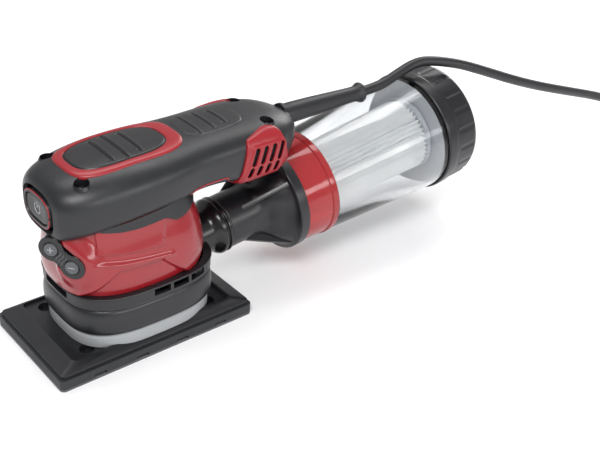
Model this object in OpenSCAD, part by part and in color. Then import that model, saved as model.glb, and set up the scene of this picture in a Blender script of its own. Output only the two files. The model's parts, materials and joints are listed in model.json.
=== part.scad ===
// Orbital finishing sander with a rectangular pad, a dust canister and a mains lead.
// +X points to the canister and the lead, -Y to the side with the speed keypad,
// +Z up. The origin is the centre of the sanding face.

/* [Sanding pad] */
// Length of the sanding pad
pad_l = 133; // [110:1:160]
// Width of the sanding pad
pad_w = 80; // [76:1:98]
// Corner radius of the pad
pad_corner = 3; // [1:0.5:6]
// Thickness of the hook facing
hook_t = 1.4; // [1:0.1:2]
// Thickness of the pad foam
foam_t = 6; // [4:0.5:9]
// Radius of a dust hole
dust_hole_r = 4.5; // [3:0.5:6]
// Eccentricity of the orbit
orbit = 1; // [0.75:0.25:1.5]

/* [Housing] */
// Length of the rubber skirt
skirt_l = 97; // [92:1:102]
// Width of the rubber skirt
skirt_w = 78; // [76:1:82]
// Wall of the moulded shells
wall = 2.5; // [2:0.1:3]
// Height of the top of the grip
top_z = 121.2; // [120:0.4:128]
// Half width of the motor head
head_r = 34; // [33:0.5:37]
// Half width of the grip
grip_r = 29.5; // [28:0.5:32]

/* [Drive] */
// Outer radius of the stator
stator_r = 21; // [19:0.5:22]
// Radius of the magnet rotor
rotor_r = 11; // [9:0.5:12]
// Radius of the suction fan
fan_r = 28; // [24:1:30]
// Radial running clearance of the shafts
run_gap = 0.03; // [0.02:0.01:0.08]

/* [Dust canister] */
// Upward tilt of the canister
can_tilt = 7; // [4:0.5:9]
// Outer radius of the dust port
port_r = 14.5; // [12:0.5:15]
// Radius of the canister at its front
can_front_r = 34.5; // [32:0.5:36]
// Radius of the canister at its rear
can_rear_r = 41.9; // [39:0.5:42.5]
// Length of the clear tube
can_l = 96.5; // [80:1:100]
// Wall of the canister
can_wall = 2; // [1.6:0.1:2.6]
// Length of the end cap
cap_l = 31; // [24:1:33]
// Number of filter pleats
pleats = 44; // [30:1:60]
// How far the canister plugs onto the port
plug_depth = 12; // [8:1:14]

/* [Controls] */
// Travel of the power button
button_travel = 1.5; // [1:0.1:2]
// Travel of a speed button
key_travel = 0.8; // [0.5:0.1:1.2]

/* [Lead] */
// Diameter of the mains lead
lead_d = 7; // [6:0.5:8]

/* [Hidden] */
$fn = 64;
eps = 0.01;
touch = 0.02;

// heights of the pad stack
foam_z = hook_t;
plate_z = hook_t + foam_t;
panel_z = plate_z + 3.8;
ridge_z = plate_z + 5.8;
plate_inset = 1.5;
ridge_inset_x = 11.4;
ridge_inset_y = 6.1;
seal_top = panel_z + 8.6;
seal_wall = 2.6;
// growth of the seal ring's outline from the skirt's
seal_grow = -2.2;
dust_pitch = 28;
dust_row_y = 25;

// heights of the drive
crank_r = 5;
crank_bearing_r = 13;
crank_bearing_h = 8;
crank_z = panel_z + 3;
hub_floor_z = panel_z;
hub_top = crank_z + crank_bearing_h + 1.5;
hub_r = 17;
hub_flange_r = 21;
motor_x = -orbit;
skirt_z = seal_top + 0.6;
belt_z = 38.6;
belt_top = 46;
weight_z = hub_top + 1.6;
weight_h = 5;
fan_z = weight_z + weight_h + 0.6;
fan_h = 9;
fan_hub_r = 9;
fan_blade_t = 1.2;
fan_blades = 12;
shaft_r = 6;
plate_h = 3;
lower_bearing_r = 14;
lower_bearing_h = 8;
lower_bearing_z = belt_top + plate_h + 0.5;
boss_r = 17;
sleeve_t = 2;
sleeve_r = stator_r + sleeve_t;
stator_z = 63;
stator_h = 28;
air_gap = 0.8;
upper_shaft_r = 4;
upper_bearing_r = 11;
upper_bearing_h = 7;
upper_bearing_z = 102;
post_r = 4.5;
post_x = 30;
post_y = 18;
post_lift = 0.8;
post_flange = 1;

// outline of the lower housing: [z, front x, rear x, half width]
body_rows = [
  [46, -47, 42.5, 37.3], [52, -47.8, 44.5, 38], [60, -47.5, 44, 37.2], [68, -47, 42, 35.3],
  [75, -46.5, 39.5, 33], [81, -46, 36, 31.4], [86, -45, 33, 30]
];
body_power = 2.7;
// slope and height of the joint between the head and the lower housing
joint_z = 85.5;
joint_slope = 0.085;
// clearance between the neck and the head at its sides, front and rear: the neck is longer lower down
neck_gap = 0.6;
neck_gap_front = 1.7;
neck_gap_rear = 3.4;
// how far the neck enters the head
neck_enter = 6;

// outline of the head and the grip: [x, underside z, widest z, top z, half width]
nose_x = -53;
tail_x = 114;
head_rows = [
  [-53, 84, 97, top_z - 13, 0.5 * head_r],
  [-51.6, 81.5, 97, top_z - 10.5, 0.6 * head_r],
  [-49, 80.6, 97.5, top_z - 8.4, 0.69 * head_r],
  [-44, 80.8, 98, top_z - 6.3, 0.79 * head_r],
  [-36, 82, 98.5, top_z - 4.2, 0.885 * head_r],
  [-22, 84, 99.5, top_z - 2, 0.965 * head_r],
  [-6, 86, 101, top_z - 0.8, head_r],
  [10, 87.5, 102, top_z - 0.4, 0.985 * head_r],
  [24, 88.5, 103, top_z - 0.3, 0.94 * head_r],
  [36, 88.8, 104, top_z - 0.2, 0.5 * (grip_r + 0.9 * head_r)],
  [48, 88.4, 104.4, top_z, grip_r],
  [58, 87, 104.8, top_z + 0.3, grip_r],
  [66, 84.8, 105, top_z + 0.5, grip_r],
  [80, 83.6, 105.5, top_z + 0.3, grip_r],
  [92, 84.6, 105.5, top_z - 0.4, grip_r - 0.5],
  [99, 87.6, 106, top_z - 1.2, grip_r - 2.5],
  [105, 91, 106.4, top_z - 2.6, grip_r - 6],
  [111, 95.6, 107, top_z - 4.8, grip_r - 10.5],
  [114, 98.4, 107.4, top_z - 6.4, grip_r - 14]
];
top_power = 2.7;
under_power = 3.4;

// the lead's route after the strain relief, over the end cap and down to the floor
LEAD_ROUTE = [
  [184, 0, 109.8], [192, 0, 110], [205, 0, 111.4], [219, 1, 114.8], [232, 1.5, 118],
  [242, 0, 119.6], [251, -4.5, 119.6], [260, -9.5, 118.4], [270, -14, 116], [283, -18, 111.4],
  [298, -21, 105.6], [315, -23.5, 99], [334, -25.5, 92], [354, -27, 85.2], [375, -28, 78.4],
  [398, -28.5, 71], [422, -28, 63], [446, -26.5, 54], [470, -23.5, 43.6], [492, -19, 32.6],
  [512, -12.5, 21.6], [530, -4.5, 12.4], [546, 5, 6.2], [560, 14, 3.8], [574, 22, 3.5],
  [590, 28.4, 3.5], [604, 31, 3.5]
];
coil_pos = [606, -18];
coil_turns_wide = 4;
coil_turns_high = 4;
coil_mid_r = 38.5;
TAIL_ROUTE = [
  [606, -67, 3.5], [596, -67, 3.5], [586, -67.4, 4.6], [578, -68, 6.6], [572, -68, 8],
  [566, -68, 8.5], [558, -68, 8.5]
];
plug_pos = [558, -68, 8.5];
plug_l = 50;
lead_sides = 10;

// ---------- curves ----------

// index of the row that holds x
function row_of(t, x, i = 0) = (i >= len(t) - 2 || x <= t[i + 1][0]) ? i : row_of(t, x, i + 1);
// slope of column c at row i, from its two neighbours
function row_slope(t, i, c) =
  let (a = max(i - 1, 0), b = min(i + 1, len(t) - 1))
  (t[b][c] - t[a][c]) / (t[b][0] - t[a][0]);
// column c of a table at x, on a smooth cubic through the rows
function smooth_at(t, x, c) =
  let (
    i = row_of(t, x),
    d = t[i + 1][0] - t[i][0],
    u = (x - t[i][0]) / d,
    m0 = row_slope(t, i, c) * d,
    m1 = row_slope(t, i + 1, c) * d
  )
  (2 * u ^ 3 - 3 * u ^ 2 + 1) * t[i][c] + (u ^ 3 - 2 * u ^ 2 + u) * m0
    + (3 * u ^ 2 - 2 * u ^ 3) * t[i + 1][c] + (u ^ 3 - u ^ 2) * m1;
// signed power, for superellipses
function spow(v, p) = sign(v) * abs(v) ^ p;
// point of a superellipse at angle a
function super_pt(a, rx, ry, n) = [rx * spow(cos(a), 2 / n), ry * spow(sin(a), 2 / n)];

// each quad as two triangles, so that a warped quad has one shape only
function split_quads(quads) = [for (q = quads) each [[q[0], q[1], q[2]], [q[0], q[2], q[3]]]];

// closed skin over rings of the same count, with both ends capped; each cap is a strip
// of quads from the ring's first half to its second, so a bent wall profile caps too
module loft(rings) {
  n = len(rings[0]);
  m = len(rings);
  quads = concat(
    [for (j = [0:n / 2 - 2]) [j, j + 1, n - 2 - j, n - 1 - j]],
    [for (i = [0:m - 2], j = [0:n - 1])
      [i * n + j, (i + 1) * n + j, (i + 1) * n + (j + 1) % n, i * n + (j + 1) % n]],
    [for (j = [0:n / 2 - 2]) [for (k = [n - 1 - j, n - 2 - j, j + 1, j]) (m - 1) * n + k]]
  );
  polyhedron(points = [for (r = rings) each r], faces = split_quads(quads), convexity = 8);
}

// ring-shaped skin: the rings form a closed chain
module loop_loft(rings) {
  n = len(rings[0]);
  m = len(rings);
  polyhedron(
    points = [for (r = rings) each r],
    faces = split_quads([for (i = [0:m - 1], j = [0:n - 1])
      [i * n + j, ((i + 1) % m) * n + j, ((i + 1) % m) * n + (j + 1) % n, i * n + (j + 1) % n]]),
    convexity = 8
  );
}

// rounded rectangle with straight walls
module slab(l, w, r, z0, z1) {
  translate([-l / 2 + r, -w / 2, z0]) cube([l - 2 * r, w, z1 - z0]);
  translate([-l / 2, -w / 2 + r, z0]) cube([l, w - 2 * r, z1 - z0]);
  for (sx = [-1, 1], sy = [-1, 1])
    translate([sx * (l / 2 - r), sy * (w / 2 - r), z0]) cylinder(r = r, h = z1 - z0);
}

// outline of the skirt family, grown by g
skirt_power = 3;
skirt_x = 1.5;
skirt_sides = 56;
function skirt_ring(g, z) = [
  for (i = [0:skirt_sides - 1])
    let (p = super_pt(360 * i / skirt_sides, skirt_l / 2 + g, skirt_w / 2 + g, skirt_power))
    [skirt_x + p[0], p[1], z]
];
// a wall that turns round the skirt outline, from a profile of [growth, z] points
module skirt_wall(profile) {
  loop_loft([
    for (i = [skirt_sides - 1:-1:0])
      [for (q = profile)
        let (p = super_pt(360 * i / skirt_sides, skirt_l / 2 + q[0], skirt_w / 2 + q[0], skirt_power))
        [skirt_x + p[0], p[1], q[1]]]
  ]);
}
module skirt_slab(g, z0, z1) {
  translate([0, 0, z0]) linear_extrude(z1 - z0) polygon([for (p = skirt_ring(g, 0)) [p[0], p[1]]]);
}

// ---------- sanding pad, orbiting ----------

module dust_holes(z0, z1) {
  for (ix = [-1.5:1:1.5], sy = [-1, 1])
    translate([ix * dust_pitch, sy * dust_row_y, z0 - eps]) cylinder(r = dust_hole_r, h = z1 - z0 + 2 * eps);
}

module hook_face() {
  color("#2b2d31") difference() {
    slab(pad_l, pad_w, pad_corner, 0, hook_t);
    dust_holes(0, hook_t);
  }
}

notch_l = 8;
notch_h = 2.2;
module pad_foam() {
  color("#3a3b40") difference() {
    slab(pad_l, pad_w, pad_corner, foam_z, plate_z);
    dust_holes(foam_z, plate_z);
    for (ix = [-1.5:1:1.5], sy = [-1, 1])
      translate([ix * dust_pitch - notch_l / 2, sy * (pad_w / 2) - 1.5, foam_z - eps])
        cube([notch_l, 3, notch_h]);
  }
}

module pad_plate() {
  color("#3d3e43") difference() {
    hull() {
      slab(pad_l - 2 * plate_inset, pad_w - 2 * plate_inset, pad_corner, plate_z, plate_z + 2.4, $fn = 32);
      slab(
        pad_l - 2 * ridge_inset_x, pad_w - 2 * ridge_inset_y, pad_corner, ridge_z - 0.4, ridge_z, $fn = 32
      );
    }
    slab(
      pad_l - 2 * ridge_inset_x - 2.4, pad_w - 2 * ridge_inset_y - 2.4, pad_corner, panel_z, ridge_z + 1
    );
    skirt_slab(seal_grow + 0.1, panel_z, ridge_z + 1);
    dust_holes(plate_z, ridge_z);
    for (a = [45:90:315])
      translate([plate_hole_r * cos(a), plate_hole_r * sin(a), plate_z - eps]) cylinder(r = 2.1, h = 10);
  }
}

// the light ring that closes the gap between the plate and the skirt
module seal_ring() {
  w = seal_wall;
  color("#c9cbcd") skirt_wall([
    [seal_grow - w, panel_z + touch], [seal_grow, panel_z + touch], [seal_grow, seal_top - 1.2],
    [seal_grow - 1, seal_top], [seal_grow - w, seal_top]
  ]);
}

plate_hole_r = 19;
module pad_hub() {
  color("#9ea2a6") difference() {
    union() {
      translate([0, 0, hub_floor_z]) cylinder(r = hub_flange_r + 2, h = 2.6);
      translate([0, 0, hub_floor_z]) cylinder(r = hub_r, h = hub_top - hub_floor_z);
    }
    translate([0, 0, crank_z]) cylinder(r = crank_bearing_r, h = 30);
    translate([0, 0, crank_z - 2.4]) cylinder(r = crank_bearing_r - 2.5, h = 5);
    for (a = [45:90:315])
      translate([plate_hole_r * cos(a), plate_hole_r * sin(a), hub_floor_z - eps]) cylinder(r = 2.1, h = 10);
  }
}

module pad_screws() {
  color("#8a8d91") for (a = [45:90:315])
    translate([plate_hole_r * cos(a), plate_hole_r * sin(a), 0]) {
      translate([0, 0, plate_z + 0.2]) cylinder(r = 2, h = hub_floor_z + 2.6 - plate_z);
      difference() {
        translate([0, 0, hub_floor_z + 2.6 + touch]) cylinder(r = 1.95, h = 2.2);
        translate([0, 0, hub_floor_z + 3.6]) cylinder(r = 1.2, h = 5, $fn = 6);
      }
    }
}

// ball bearing as one ring with a groove on both faces
module bearing(r_in, r_out, h) {
  rm = (r_in + r_out) / 2;
  gw = (r_out - r_in) * 0.16;
  difference() {
    cylinder(r = r_out, h = h);
    translate([0, 0, -eps]) cylinder(r = r_in, h = h + 2 * eps);
    for (z = [-eps, h - 0.6 + eps]) translate([0, 0, z]) difference() {
      cylinder(r = rm + gw, h = 0.6);
      translate([0, 0, -eps]) cylinder(r = rm - gw, h = 1);
    }
  }
}

module crank_bearing() {
  color("#b9bcc0") translate([0, 0, crank_z]) bearing(crank_r + run_gap, crank_bearing_r, crank_bearing_h);
}

// ---------- drive, spinning on the motor axis ----------

module on_motor() {
  translate([motor_x, 0, 0]) children();
}

module motor_shaft() {
  color("#a7abb0") difference() {
    union() {
      translate([0, 0, crank_z + 0.2]) cylinder(r = crank_r, h = weight_z - crank_z);
      on_motor() translate([0, 0, weight_z]) cylinder(r = crank_r + orbit + 2, h = weight_h);
      on_motor() translate([0, 0, weight_z]) cylinder(r = shaft_r, h = upper_bearing_z - 3 - weight_z);
      on_motor() translate([0, 0, weight_z])
        cylinder(r = upper_shaft_r, h = upper_bearing_z + upper_bearing_h + 2 - weight_z);
    }
    translate([0, 0, crank_z - 1]) cylinder(r = 2.5, h = 13);
  }
}

module crank_screw() {
  color("#6f7276") {
    translate([0, 0, crank_z - 0.5]) cylinder(r = 2.45, h = 10.5);
    translate([0, 0, crank_z - 1.2]) cylinder(r = crank_r + 2, h = 1.1);
    difference() {
      translate([0, 0, crank_z - 2.2]) cylinder(r = 4.2, h = 1.2);
      translate([0, 0, crank_z - 2.3]) cylinder(r = 1.8, h = 0.9, $fn = 6);
    }
  }
}

module magnet_rotor() {
  color("#55585c") on_motor() difference() {
    translate([0, 0, stator_z]) cylinder(r = rotor_r, h = stator_h);
    translate([0, 0, stator_z - 1]) cylinder(r = shaft_r, h = stator_h + 2);
  }
}

weight_r = 23;
module counterweight() {
  color("#8e7f5a") on_motor() difference() {
    translate([0, 0, weight_z]) cylinder(r = weight_r, h = weight_h);
    translate([0, 0, weight_z - 1]) cylinder(r = crank_r + orbit + 2, h = weight_h + 2);
    translate([0, -weight_r - 1, weight_z - 1]) cube([2 * weight_r, 2 * weight_r + 2, weight_h + 2]);
  }
}

module suction_fan() {
  color("#2f3238") on_motor() difference() {
    union() {
      translate([0, 0, fan_z + fan_h - 1.6]) cylinder(r = fan_r, h = 1.6);
      translate([0, 0, fan_z]) cylinder(r = fan_hub_r, h = fan_h);
      for (i = [0:fan_blades - 1])
        rotate([0, 0, 360 * i / fan_blades]) translate([fan_hub_r - 0.5, -fan_blade_t / 2, fan_z])
          cube([fan_r - fan_hub_r - 0.5, fan_blade_t, fan_h - 0.5]);
    }
    translate([0, 0, fan_z - 1]) cylinder(r = shaft_r, h = fan_h + 2);
  }
}

// ---------- lower part of the housing ----------

module rubber_skirt() {
  w = wall;
  color("#3c3d42") skirt_wall([
    [-1 - w, skirt_z], [-1.6, skirt_z], [-0.4, skirt_z + 2], [0, skirt_z + 6], [-0.2, skirt_z + 11],
    [-1.2, belt_z - 3], [-2.6, belt_z - 0.6], [-2.6, belt_z - touch], [-2.6 - w, belt_z - touch],
    [-1 - 1.6 * w, skirt_z + 12]
  ]);
}

vent_l = 11;
vent_h = 4.4;
vent_rib = 2;
vent_count = 4;
vent_start = -4;
// ledge inside the belt, which carries the motor plate
belt_ledge = 1.6;
belt_ledge_h = 2;
module vent_belt() {
  color("#2e3035") difference() {
    skirt_slab(-0.6, belt_z, belt_top);
    skirt_slab(-0.6 - wall, belt_z - 1, belt_top - belt_ledge_h);
    skirt_slab(-0.6 - wall - belt_ledge, belt_z - 1, belt_top + 1);
    for (sy = [-1, 1], i = [0:vent_count - 1])
      translate([vent_start + i * (vent_l + vent_rib), sy * skirt_w / 2 - 6, belt_z + 1.8])
        cube([vent_l, 12, vent_h]);
    translate([-skirt_l / 2 - 3, -12, belt_z + 1.8]) cube([8, 24, vent_h]);
    port_space();
  }
}

module rubber_posts() {
  color("#232427") for (sx = [-1, 1], sy = [-1, 1]) translate([sx * post_x, sy * post_y, 0]) {
    translate([0, 0, panel_z + post_lift]) cylinder(r = post_r, h = belt_top - panel_z - post_lift - touch);
    translate([0, 0, panel_z + post_lift]) cylinder(r = post_r + post_flange, h = 3);
    translate([0, 0, belt_top - 3]) cylinder(r = post_r + post_flange, h = 3 - touch);
  }
}

module motor_plate() {
  color("#7b7e82") difference() {
    union() {
      translate([0, 0, belt_top + touch]) linear_extrude(plate_h)
        polygon([for (i = [0:body_sides - 1])
          let (q = body_pt(360 * i / body_sides, 0, -wall - 0.15)) [q[0], q[1]]]);
      on_motor() translate([0, 0, belt_top])
        cylinder(r = boss_r, h = lower_bearing_z + lower_bearing_h + 1 - belt_top);
      on_motor() translate([0, 0, belt_top]) cylinder(r = sleeve_r + 1.5, h = plate_h + 3);
    }
    on_motor() translate([0, 0, lower_bearing_z]) cylinder(r = lower_bearing_r, h = 20);
    on_motor() translate([0, 0, belt_top - 1]) cylinder(r = lower_bearing_r - 3, h = 20);
    for (i = [0:11]) on_motor() rotate([0, 0, 30 * i + 15]) translate([sleeve_r - 3.6, 0, belt_top - 1])
      cylinder(r = 1.6, h = 30);
    port_space();
  }
}

module lower_bearing() {
  color("#b9bcc0") on_motor() translate([0, 0, lower_bearing_z])
    bearing(shaft_r + run_gap, lower_bearing_r, lower_bearing_h);
}

sleeve_z = belt_top + plate_h + 3;
sleeve_h = 44;
module motor_sleeve() {
  color("#8f9296") on_motor() difference() {
    translate([0, 0, sleeve_z]) cylinder(r = sleeve_r, h = sleeve_h);
    translate([0, 0, sleeve_z - 1]) cylinder(r = stator_r, h = sleeve_h + 2);
  }
}

teeth = 12;
bore_r = rotor_r + air_gap;
module stator() {
  color("#5d6065") on_motor() translate([0, 0, stator_z]) difference() {
    cylinder(r = stator_r, h = stator_h);
    translate([0, 0, -1]) cylinder(r = bore_r, h = stator_h + 2);
    for (i = [0:teeth - 1]) rotate([0, 0, 360 * i / teeth])
      translate([bore_r + 1.2, -1.7, -1]) cube([stator_r - bore_r - 3.4, 3.4, stator_h + 2]);
  }
}

module stator_coils() {
  color("#b06a35") on_motor() for (i = [0:teeth - 1], e = [0, 1]) rotate([0, 0, 360 * (i + 0.5) / teeth])
    translate([bore_r + 1.4, -2, e == 0 ? stator_z - 4 : stator_z + stator_h + touch])
      cube([stator_r - bore_r - 3.8, 4, 4 - touch]);
}

module upper_bracket() {
  color("#7b7e82") on_motor() difference() {
    union() {
      translate([0, 0, sleeve_z + sleeve_h + touch]) cylinder(r = sleeve_r, h = 3);
      translate([0, 0, sleeve_z + sleeve_h + 2])
        cylinder(r = upper_bearing_r + 2.5, h = upper_bearing_z + upper_bearing_h - sleeve_z - sleeve_h - 1);
    }
    translate([0, 0, upper_bearing_z]) cylinder(r = upper_bearing_r, h = 20);
    translate([0, 0, 90]) cylinder(r = upper_bearing_r - 2, h = 30);
    for (i = [0:5]) rotate([0, 0, 60 * i]) translate([sleeve_r - 4.5, 0, 90]) cylinder(r = 2, h = 30);
  }
}

module upper_bearing() {
  color("#b9bcc0") on_motor() translate([0, 0, upper_bearing_z])
    bearing(upper_shaft_r + run_gap, upper_bearing_r, upper_bearing_h);
}

// ---------- red lower housing ----------

body_sides = 52;
body_steps = 10;
function joint_at(x) = joint_z + joint_slope * x;
// point on the lower housing at angle a and height share v, grown by g
function body_pt(a, v, g) =
  let (
    z = body_rows[0][0] + v * (joint_z - body_rows[0][0]),
    xf = smooth_at(body_rows, z, 1) - g,
    xr = smooth_at(body_rows, z, 2) + g,
    p = super_pt(a, (xr - xf) / 2, smooth_at(body_rows, z, 3) + g, body_power),
    x = (xr + xf) / 2 + p[0]
  )
  [x, p[1], belt_top + touch + v * (joint_at(x) + neck_enter - belt_top)];
module lower_housing() {
  color("#c42b35") difference() {
    loop_loft([
      for (i = [0:body_sides - 1]) let (a = 360 * i / body_sides) concat(
        [for (k = [0:body_steps]) body_pt(a, k / body_steps, -wall)],
        [for (k = [body_steps:-1:0]) body_pt(a, k / body_steps, 0)]
      )
    ]);
    port_space();
    at_keypad() translate([0, 0, -12]) linear_extrude(24) key_outline(key_rim + 0.05);
  }
}

// ---------- head and grip ----------

// half width of the lower housing's neck at station x, which the head's underside opens to
function neck_open(x) =
  let (
    xf = smooth_at(body_rows, joint_z, 1) - neck_gap_front,
    xr = smooth_at(body_rows, joint_z, 2) + neck_gap_rear,
    u = abs((2 * x - xf - xr) / (xr - xf))
  )
  u >= 1 ? 0 : (smooth_at(body_rows, joint_z, 3) + neck_gap) * (1 - u ^ body_power) ^ (1 / body_power);
// angle at which the head skin starts, at the neck's opening
function head_start(x, g = 0) =
  let (w = smooth_at(head_rows, x, 4) + g) -acos(min(1, neck_open(x) / w) ^ (under_power / 2));
// point on the head skin at station x and angle a (-90 under, 90 top) of the half with side s
function head_pt(x, a, s, g = 0) =
  let (
    zb = smooth_at(head_rows, x, 1) - g,
    zw = smooth_at(head_rows, x, 2),
    zt = smooth_at(head_rows, x, 3) + g,
    w = smooth_at(head_rows, x, 4) + g,
    n = a > 0 ? top_power : under_power,
    y = w * abs(cos(a)) ^ (2 / n),
    z = a > 0 ? zw + (zt - zw) * sin(a) ^ (2 / n) : zw - (zw - zb) * abs(sin(a)) ^ (2 / n)
  )
  [x, s * y, z];
// height of the top skin at x, y
function head_top(x, y, g = 0) =
  let (
    zw = smooth_at(head_rows, x, 2),
    zt = smooth_at(head_rows, x, 3) + g,
    w = smooth_at(head_rows, x, 4) + g
  )
  zw + (zt - zw) * max(0, 1 - abs(y / w) ^ top_power) ^ (1 / top_power);

head_xs = [
  -53, -52.3, -51, -49, -46.8, -46.3, -45.3, -43.5, -41, -37, -32, -26, -18, -6, 8, 17, 24, 29, 33, 35.4,
  36.5, 42, 52, 66, 80, 92, 99, 105, 109, 112, 114
];
head_steps = 16;
module grip_half(s) {
  difference() {
    loft([
      for (x = s > 0 ? head_xs : [for (i = [len(head_xs) - 1:-1:0]) head_xs[i]])
        let (a0 = head_start(x), b0 = head_start(x, -wall)) concat(
          [for (k = [0:head_steps]) head_pt(x, a0 + (90 - a0) * k / head_steps, s)],
          [for (k = [head_steps:-1:0]) head_pt(x, b0 + (90 - b0) * k / head_steps, s, -wall)]
        )
    ]);
    translate([vent_x0 + 9, s > 0 ? 12 : -42, vent_z0 + 6]) cube([vent_x1 - vent_x0 - 14, 30, 21]);
    for (p = [[head_screw_x, head_screw_y], [tail_screw_x, tail_screw_y]])
      translate([p[0], s * p[1], screw_seat(p)]) cylinder(r = screw_recess_r, h = 60);
    along_x(gland_x - 7, gland_z) cylinder(r = gland_r + 0.05, h = 20);
    at_keypad() translate([0, 0, -10]) linear_extrude(12) key_outline(key_rim + 0.05);
  }
  for (p = [[head_screw_x, head_screw_y], [tail_screw_x, tail_screw_y]])
    translate([p[0], s * p[1], 0]) difference() {
      translate([0, 0, screw_seat(p) - 12]) cylinder(r = screw_boss_r, h = 13.6);
      translate([0, 0, screw_seat(p) - 13]) cylinder(r = 2, h = 20);
      translate([0, 0, screw_seat(p)]) cylinder(r = screw_recess_r, h = 20);
    }
}
module grip_left() {
  color("#3a3b40") grip_half(-1);
}
module grip_right() {
  color("#3a3b40") grip_half(1);
}

// outline on the top skin, shrunk to share f of its size and raised by g
patch_sides = 28;
function top_outline(shape, f, g) = [
  for (i = [0:patch_sides - 1])
    let (p = super_pt(360 * i / patch_sides, shape[1] * f, shape[2] * f, shape[3]), x = shape[0] + p[0])
    [x, p[1], head_top(x, p[1]) + g]
];
module top_disc(shape, low, high) {
  shares = [0.02, 0.35, 0.7, 1];
  loft(concat(
    [for (f = shares) top_outline(shape, f, low)],
    [for (j = [len(shares) - 1:-1:0]) top_outline(shape, shares[j], high)]
  ));
}
module top_ring(outer, inner, low, high) {
  a = top_outline(inner, 1, low);
  b = top_outline(inner, 1, high);
  c = top_outline(outer, 1, high);
  d = top_outline(outer, 1, low);
  loop_loft([for (i = [0:patch_sides - 1]) [a[i], b[i], c[i], d[i]]]);
}
// the ring's outline and its window: [centre x, half length, half width, power]
ring_outer = [-2.3, 36, 21.3, 3.6];
ring_inner = [-4.2, 29.3, 17, 3];
rear_panel = [57, 21, 15.5, 3.4];
skin_t = 1;
// gap between the flat facets of the shell and what lies on it
skin_lift = 0.15;
inlay_t = 1.6;
inlay_gap = 0.2;
module trim_ring() {
  color("#d0202c") top_ring(ring_outer, ring_inner, skin_lift, skin_t);
}
module front_inlay() {
  color("#2f3035") top_disc(
    [ring_inner[0], ring_inner[1] - inlay_gap, ring_inner[2] - inlay_gap, ring_inner[3]],
    skin_lift, inlay_t
  );
}
module rear_inlay() {
  color("#2f3035") top_disc(rear_panel, skin_lift, 0.7 * skin_t);
}

// ---------- power button ----------

bezel_t = 1.6;
button_gap = 0.35;
function nose_ring(x, g, k = 32) = [
  for (i = [0:k - 1]) let (
    a = 360 * i / k,
    zb = smooth_at(head_rows, nose_x, 1) - g,
    zw = smooth_at(head_rows, nose_x, 2),
    zt = smooth_at(head_rows, nose_x, 3) + g,
    w = smooth_at(head_rows, nose_x, 4) + g,
    n = sin(a) > 0 ? top_power : under_power,
    z = sin(a) > 0 ? zt - zw : zw - zb
  ) [w * spow(cos(a), 2 / n), zw + z * spow(sin(a), 2 / n)]
];
module nose_prism(g, x0, x1) {
  translate([x0, 0, 0]) rotate([90, 0, 90]) linear_extrude(x1 - x0) polygon(nose_ring(0, g));
}
module button_bezel() {
  color("#c42b35") difference() {
    nose_prism(-wall - 0.4, nose_x - 0.8, nose_x + 5);
    nose_prism(-wall - 0.4 - bezel_t, nose_x - 2, nose_x + 6);
  }
}
module power_button() {
  color("#34353a") nose_prism(-wall - 0.4 - bezel_t - button_gap, nose_x - 0.4, nose_x + 6);
}
module switch_block() {
  color("#1f2023") translate([nose_x + 6 + button_travel + 0.4, -9, 90]) cube([12, 18, 18]);
}

// ---------- electronics ----------

board_x = 26;
board_l = 58;
board_w = 40;
board_z = 104;
board_t = 1.6;
cap_can_r = 5.5;
module control_board() {
  color("#2f6b3c") translate([board_x, -board_w / 2, board_z]) cube([board_l, board_w, board_t]);
  color("#55585c") for (i = [0:3])
    translate([board_x + 6 + i * 8, -14, board_z + board_t - eps]) cube([4.6, 10, 9]);
}
module capacitor() {
  color("#3b4252") translate([board_x + 42, 6, board_z + board_t + cap_can_r + touch]) rotate([0, 90, 0])
    cylinder(r = cap_can_r, h = 14);
}

// ---------- speed keypad ----------

key_pos = [-49.4, -17, 71.6];
key_azimuth = -145;
key_turn = -37;
key_spread = 15;
key_end_r = 6.8;
key_waist = 4.6;
key_rim = 0.8;
// floor of a button's well when the button is fully pressed
key_floor = -2.2;
module at_keypad() {
  translate(key_pos) rotate([0, 0, key_azimuth]) rotate([0, 90, 0]) rotate([0, 0, 90 + key_turn]) children();
}
module key_outline(g) {
  for (s = [-1, 1]) translate([s * key_spread / 2, 0]) circle(r = key_end_r + g);
  translate([-key_spread / 2, -key_waist - g]) square([key_spread, 2 * (key_waist + g)]);
}
module keypad_frame() {
  color("#1c1d20") at_keypad() difference() {
    translate([0, 0, -9]) linear_extrude(9.6) key_outline(key_rim);
    for (s = [-1, 1]) translate([s * key_spread / 2, 0, key_floor - key_travel])
      cylinder(r = key_r + 0.3, h = 10);
  }
}
key_r = 4;
module key_button() {
  translate([0, 0, -1.9]) cylinder(r = key_r, h = 3.3);
}
module speed_up_button() {
  color("#9a9ca0") at_keypad() translate([-key_spread / 2, 0, 0]) key_button();
}
module speed_down_button() {
  color("#9a9ca0") at_keypad() translate([key_spread / 2, 0, 0]) key_button();
}

// ---------- side vent covers ----------

vent_x0 = 62;
vent_x1 = 100;
vent_z0 = 84;
cover_t = 1.4;
module vent_cover(s) {
  xs = [for (i = [0:8]) vent_x0 + (vent_x1 - vent_x0) * i / 8];
  a0 = -64;
  a1 = 36;
  steps = 9;
  color("#c42b35") difference() {
    loft([
      for (x = s > 0 ? xs : [for (i = [8:-1:0]) xs[i]]) concat(
        [for (k = [0:steps]) head_pt(x, a0 + (a1 - a0) * k / steps, s, cover_t)],
        [for (k = [steps:-1:0]) head_pt(x, a0 + (a1 - a0) * k / steps, s, 1.5 * skin_lift)]
      )
    ]);
    for (i = [0:3]) {
      translate([vent_x0 + 12 + i * 5.4, s * grip_r - 8, vent_z0 + 16]) cube([2.6, 16, 10]);
      translate([vent_x0 + 12 + i * 5.4, s * grip_r - 8, vent_z0 + 7]) cube([2.6, 16, 5]);
    }
  }
}
module vent_cover_left() {
  vent_cover(-1);
}
module vent_cover_right() {
  vent_cover(1);
}

// ---------- screws ----------

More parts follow.
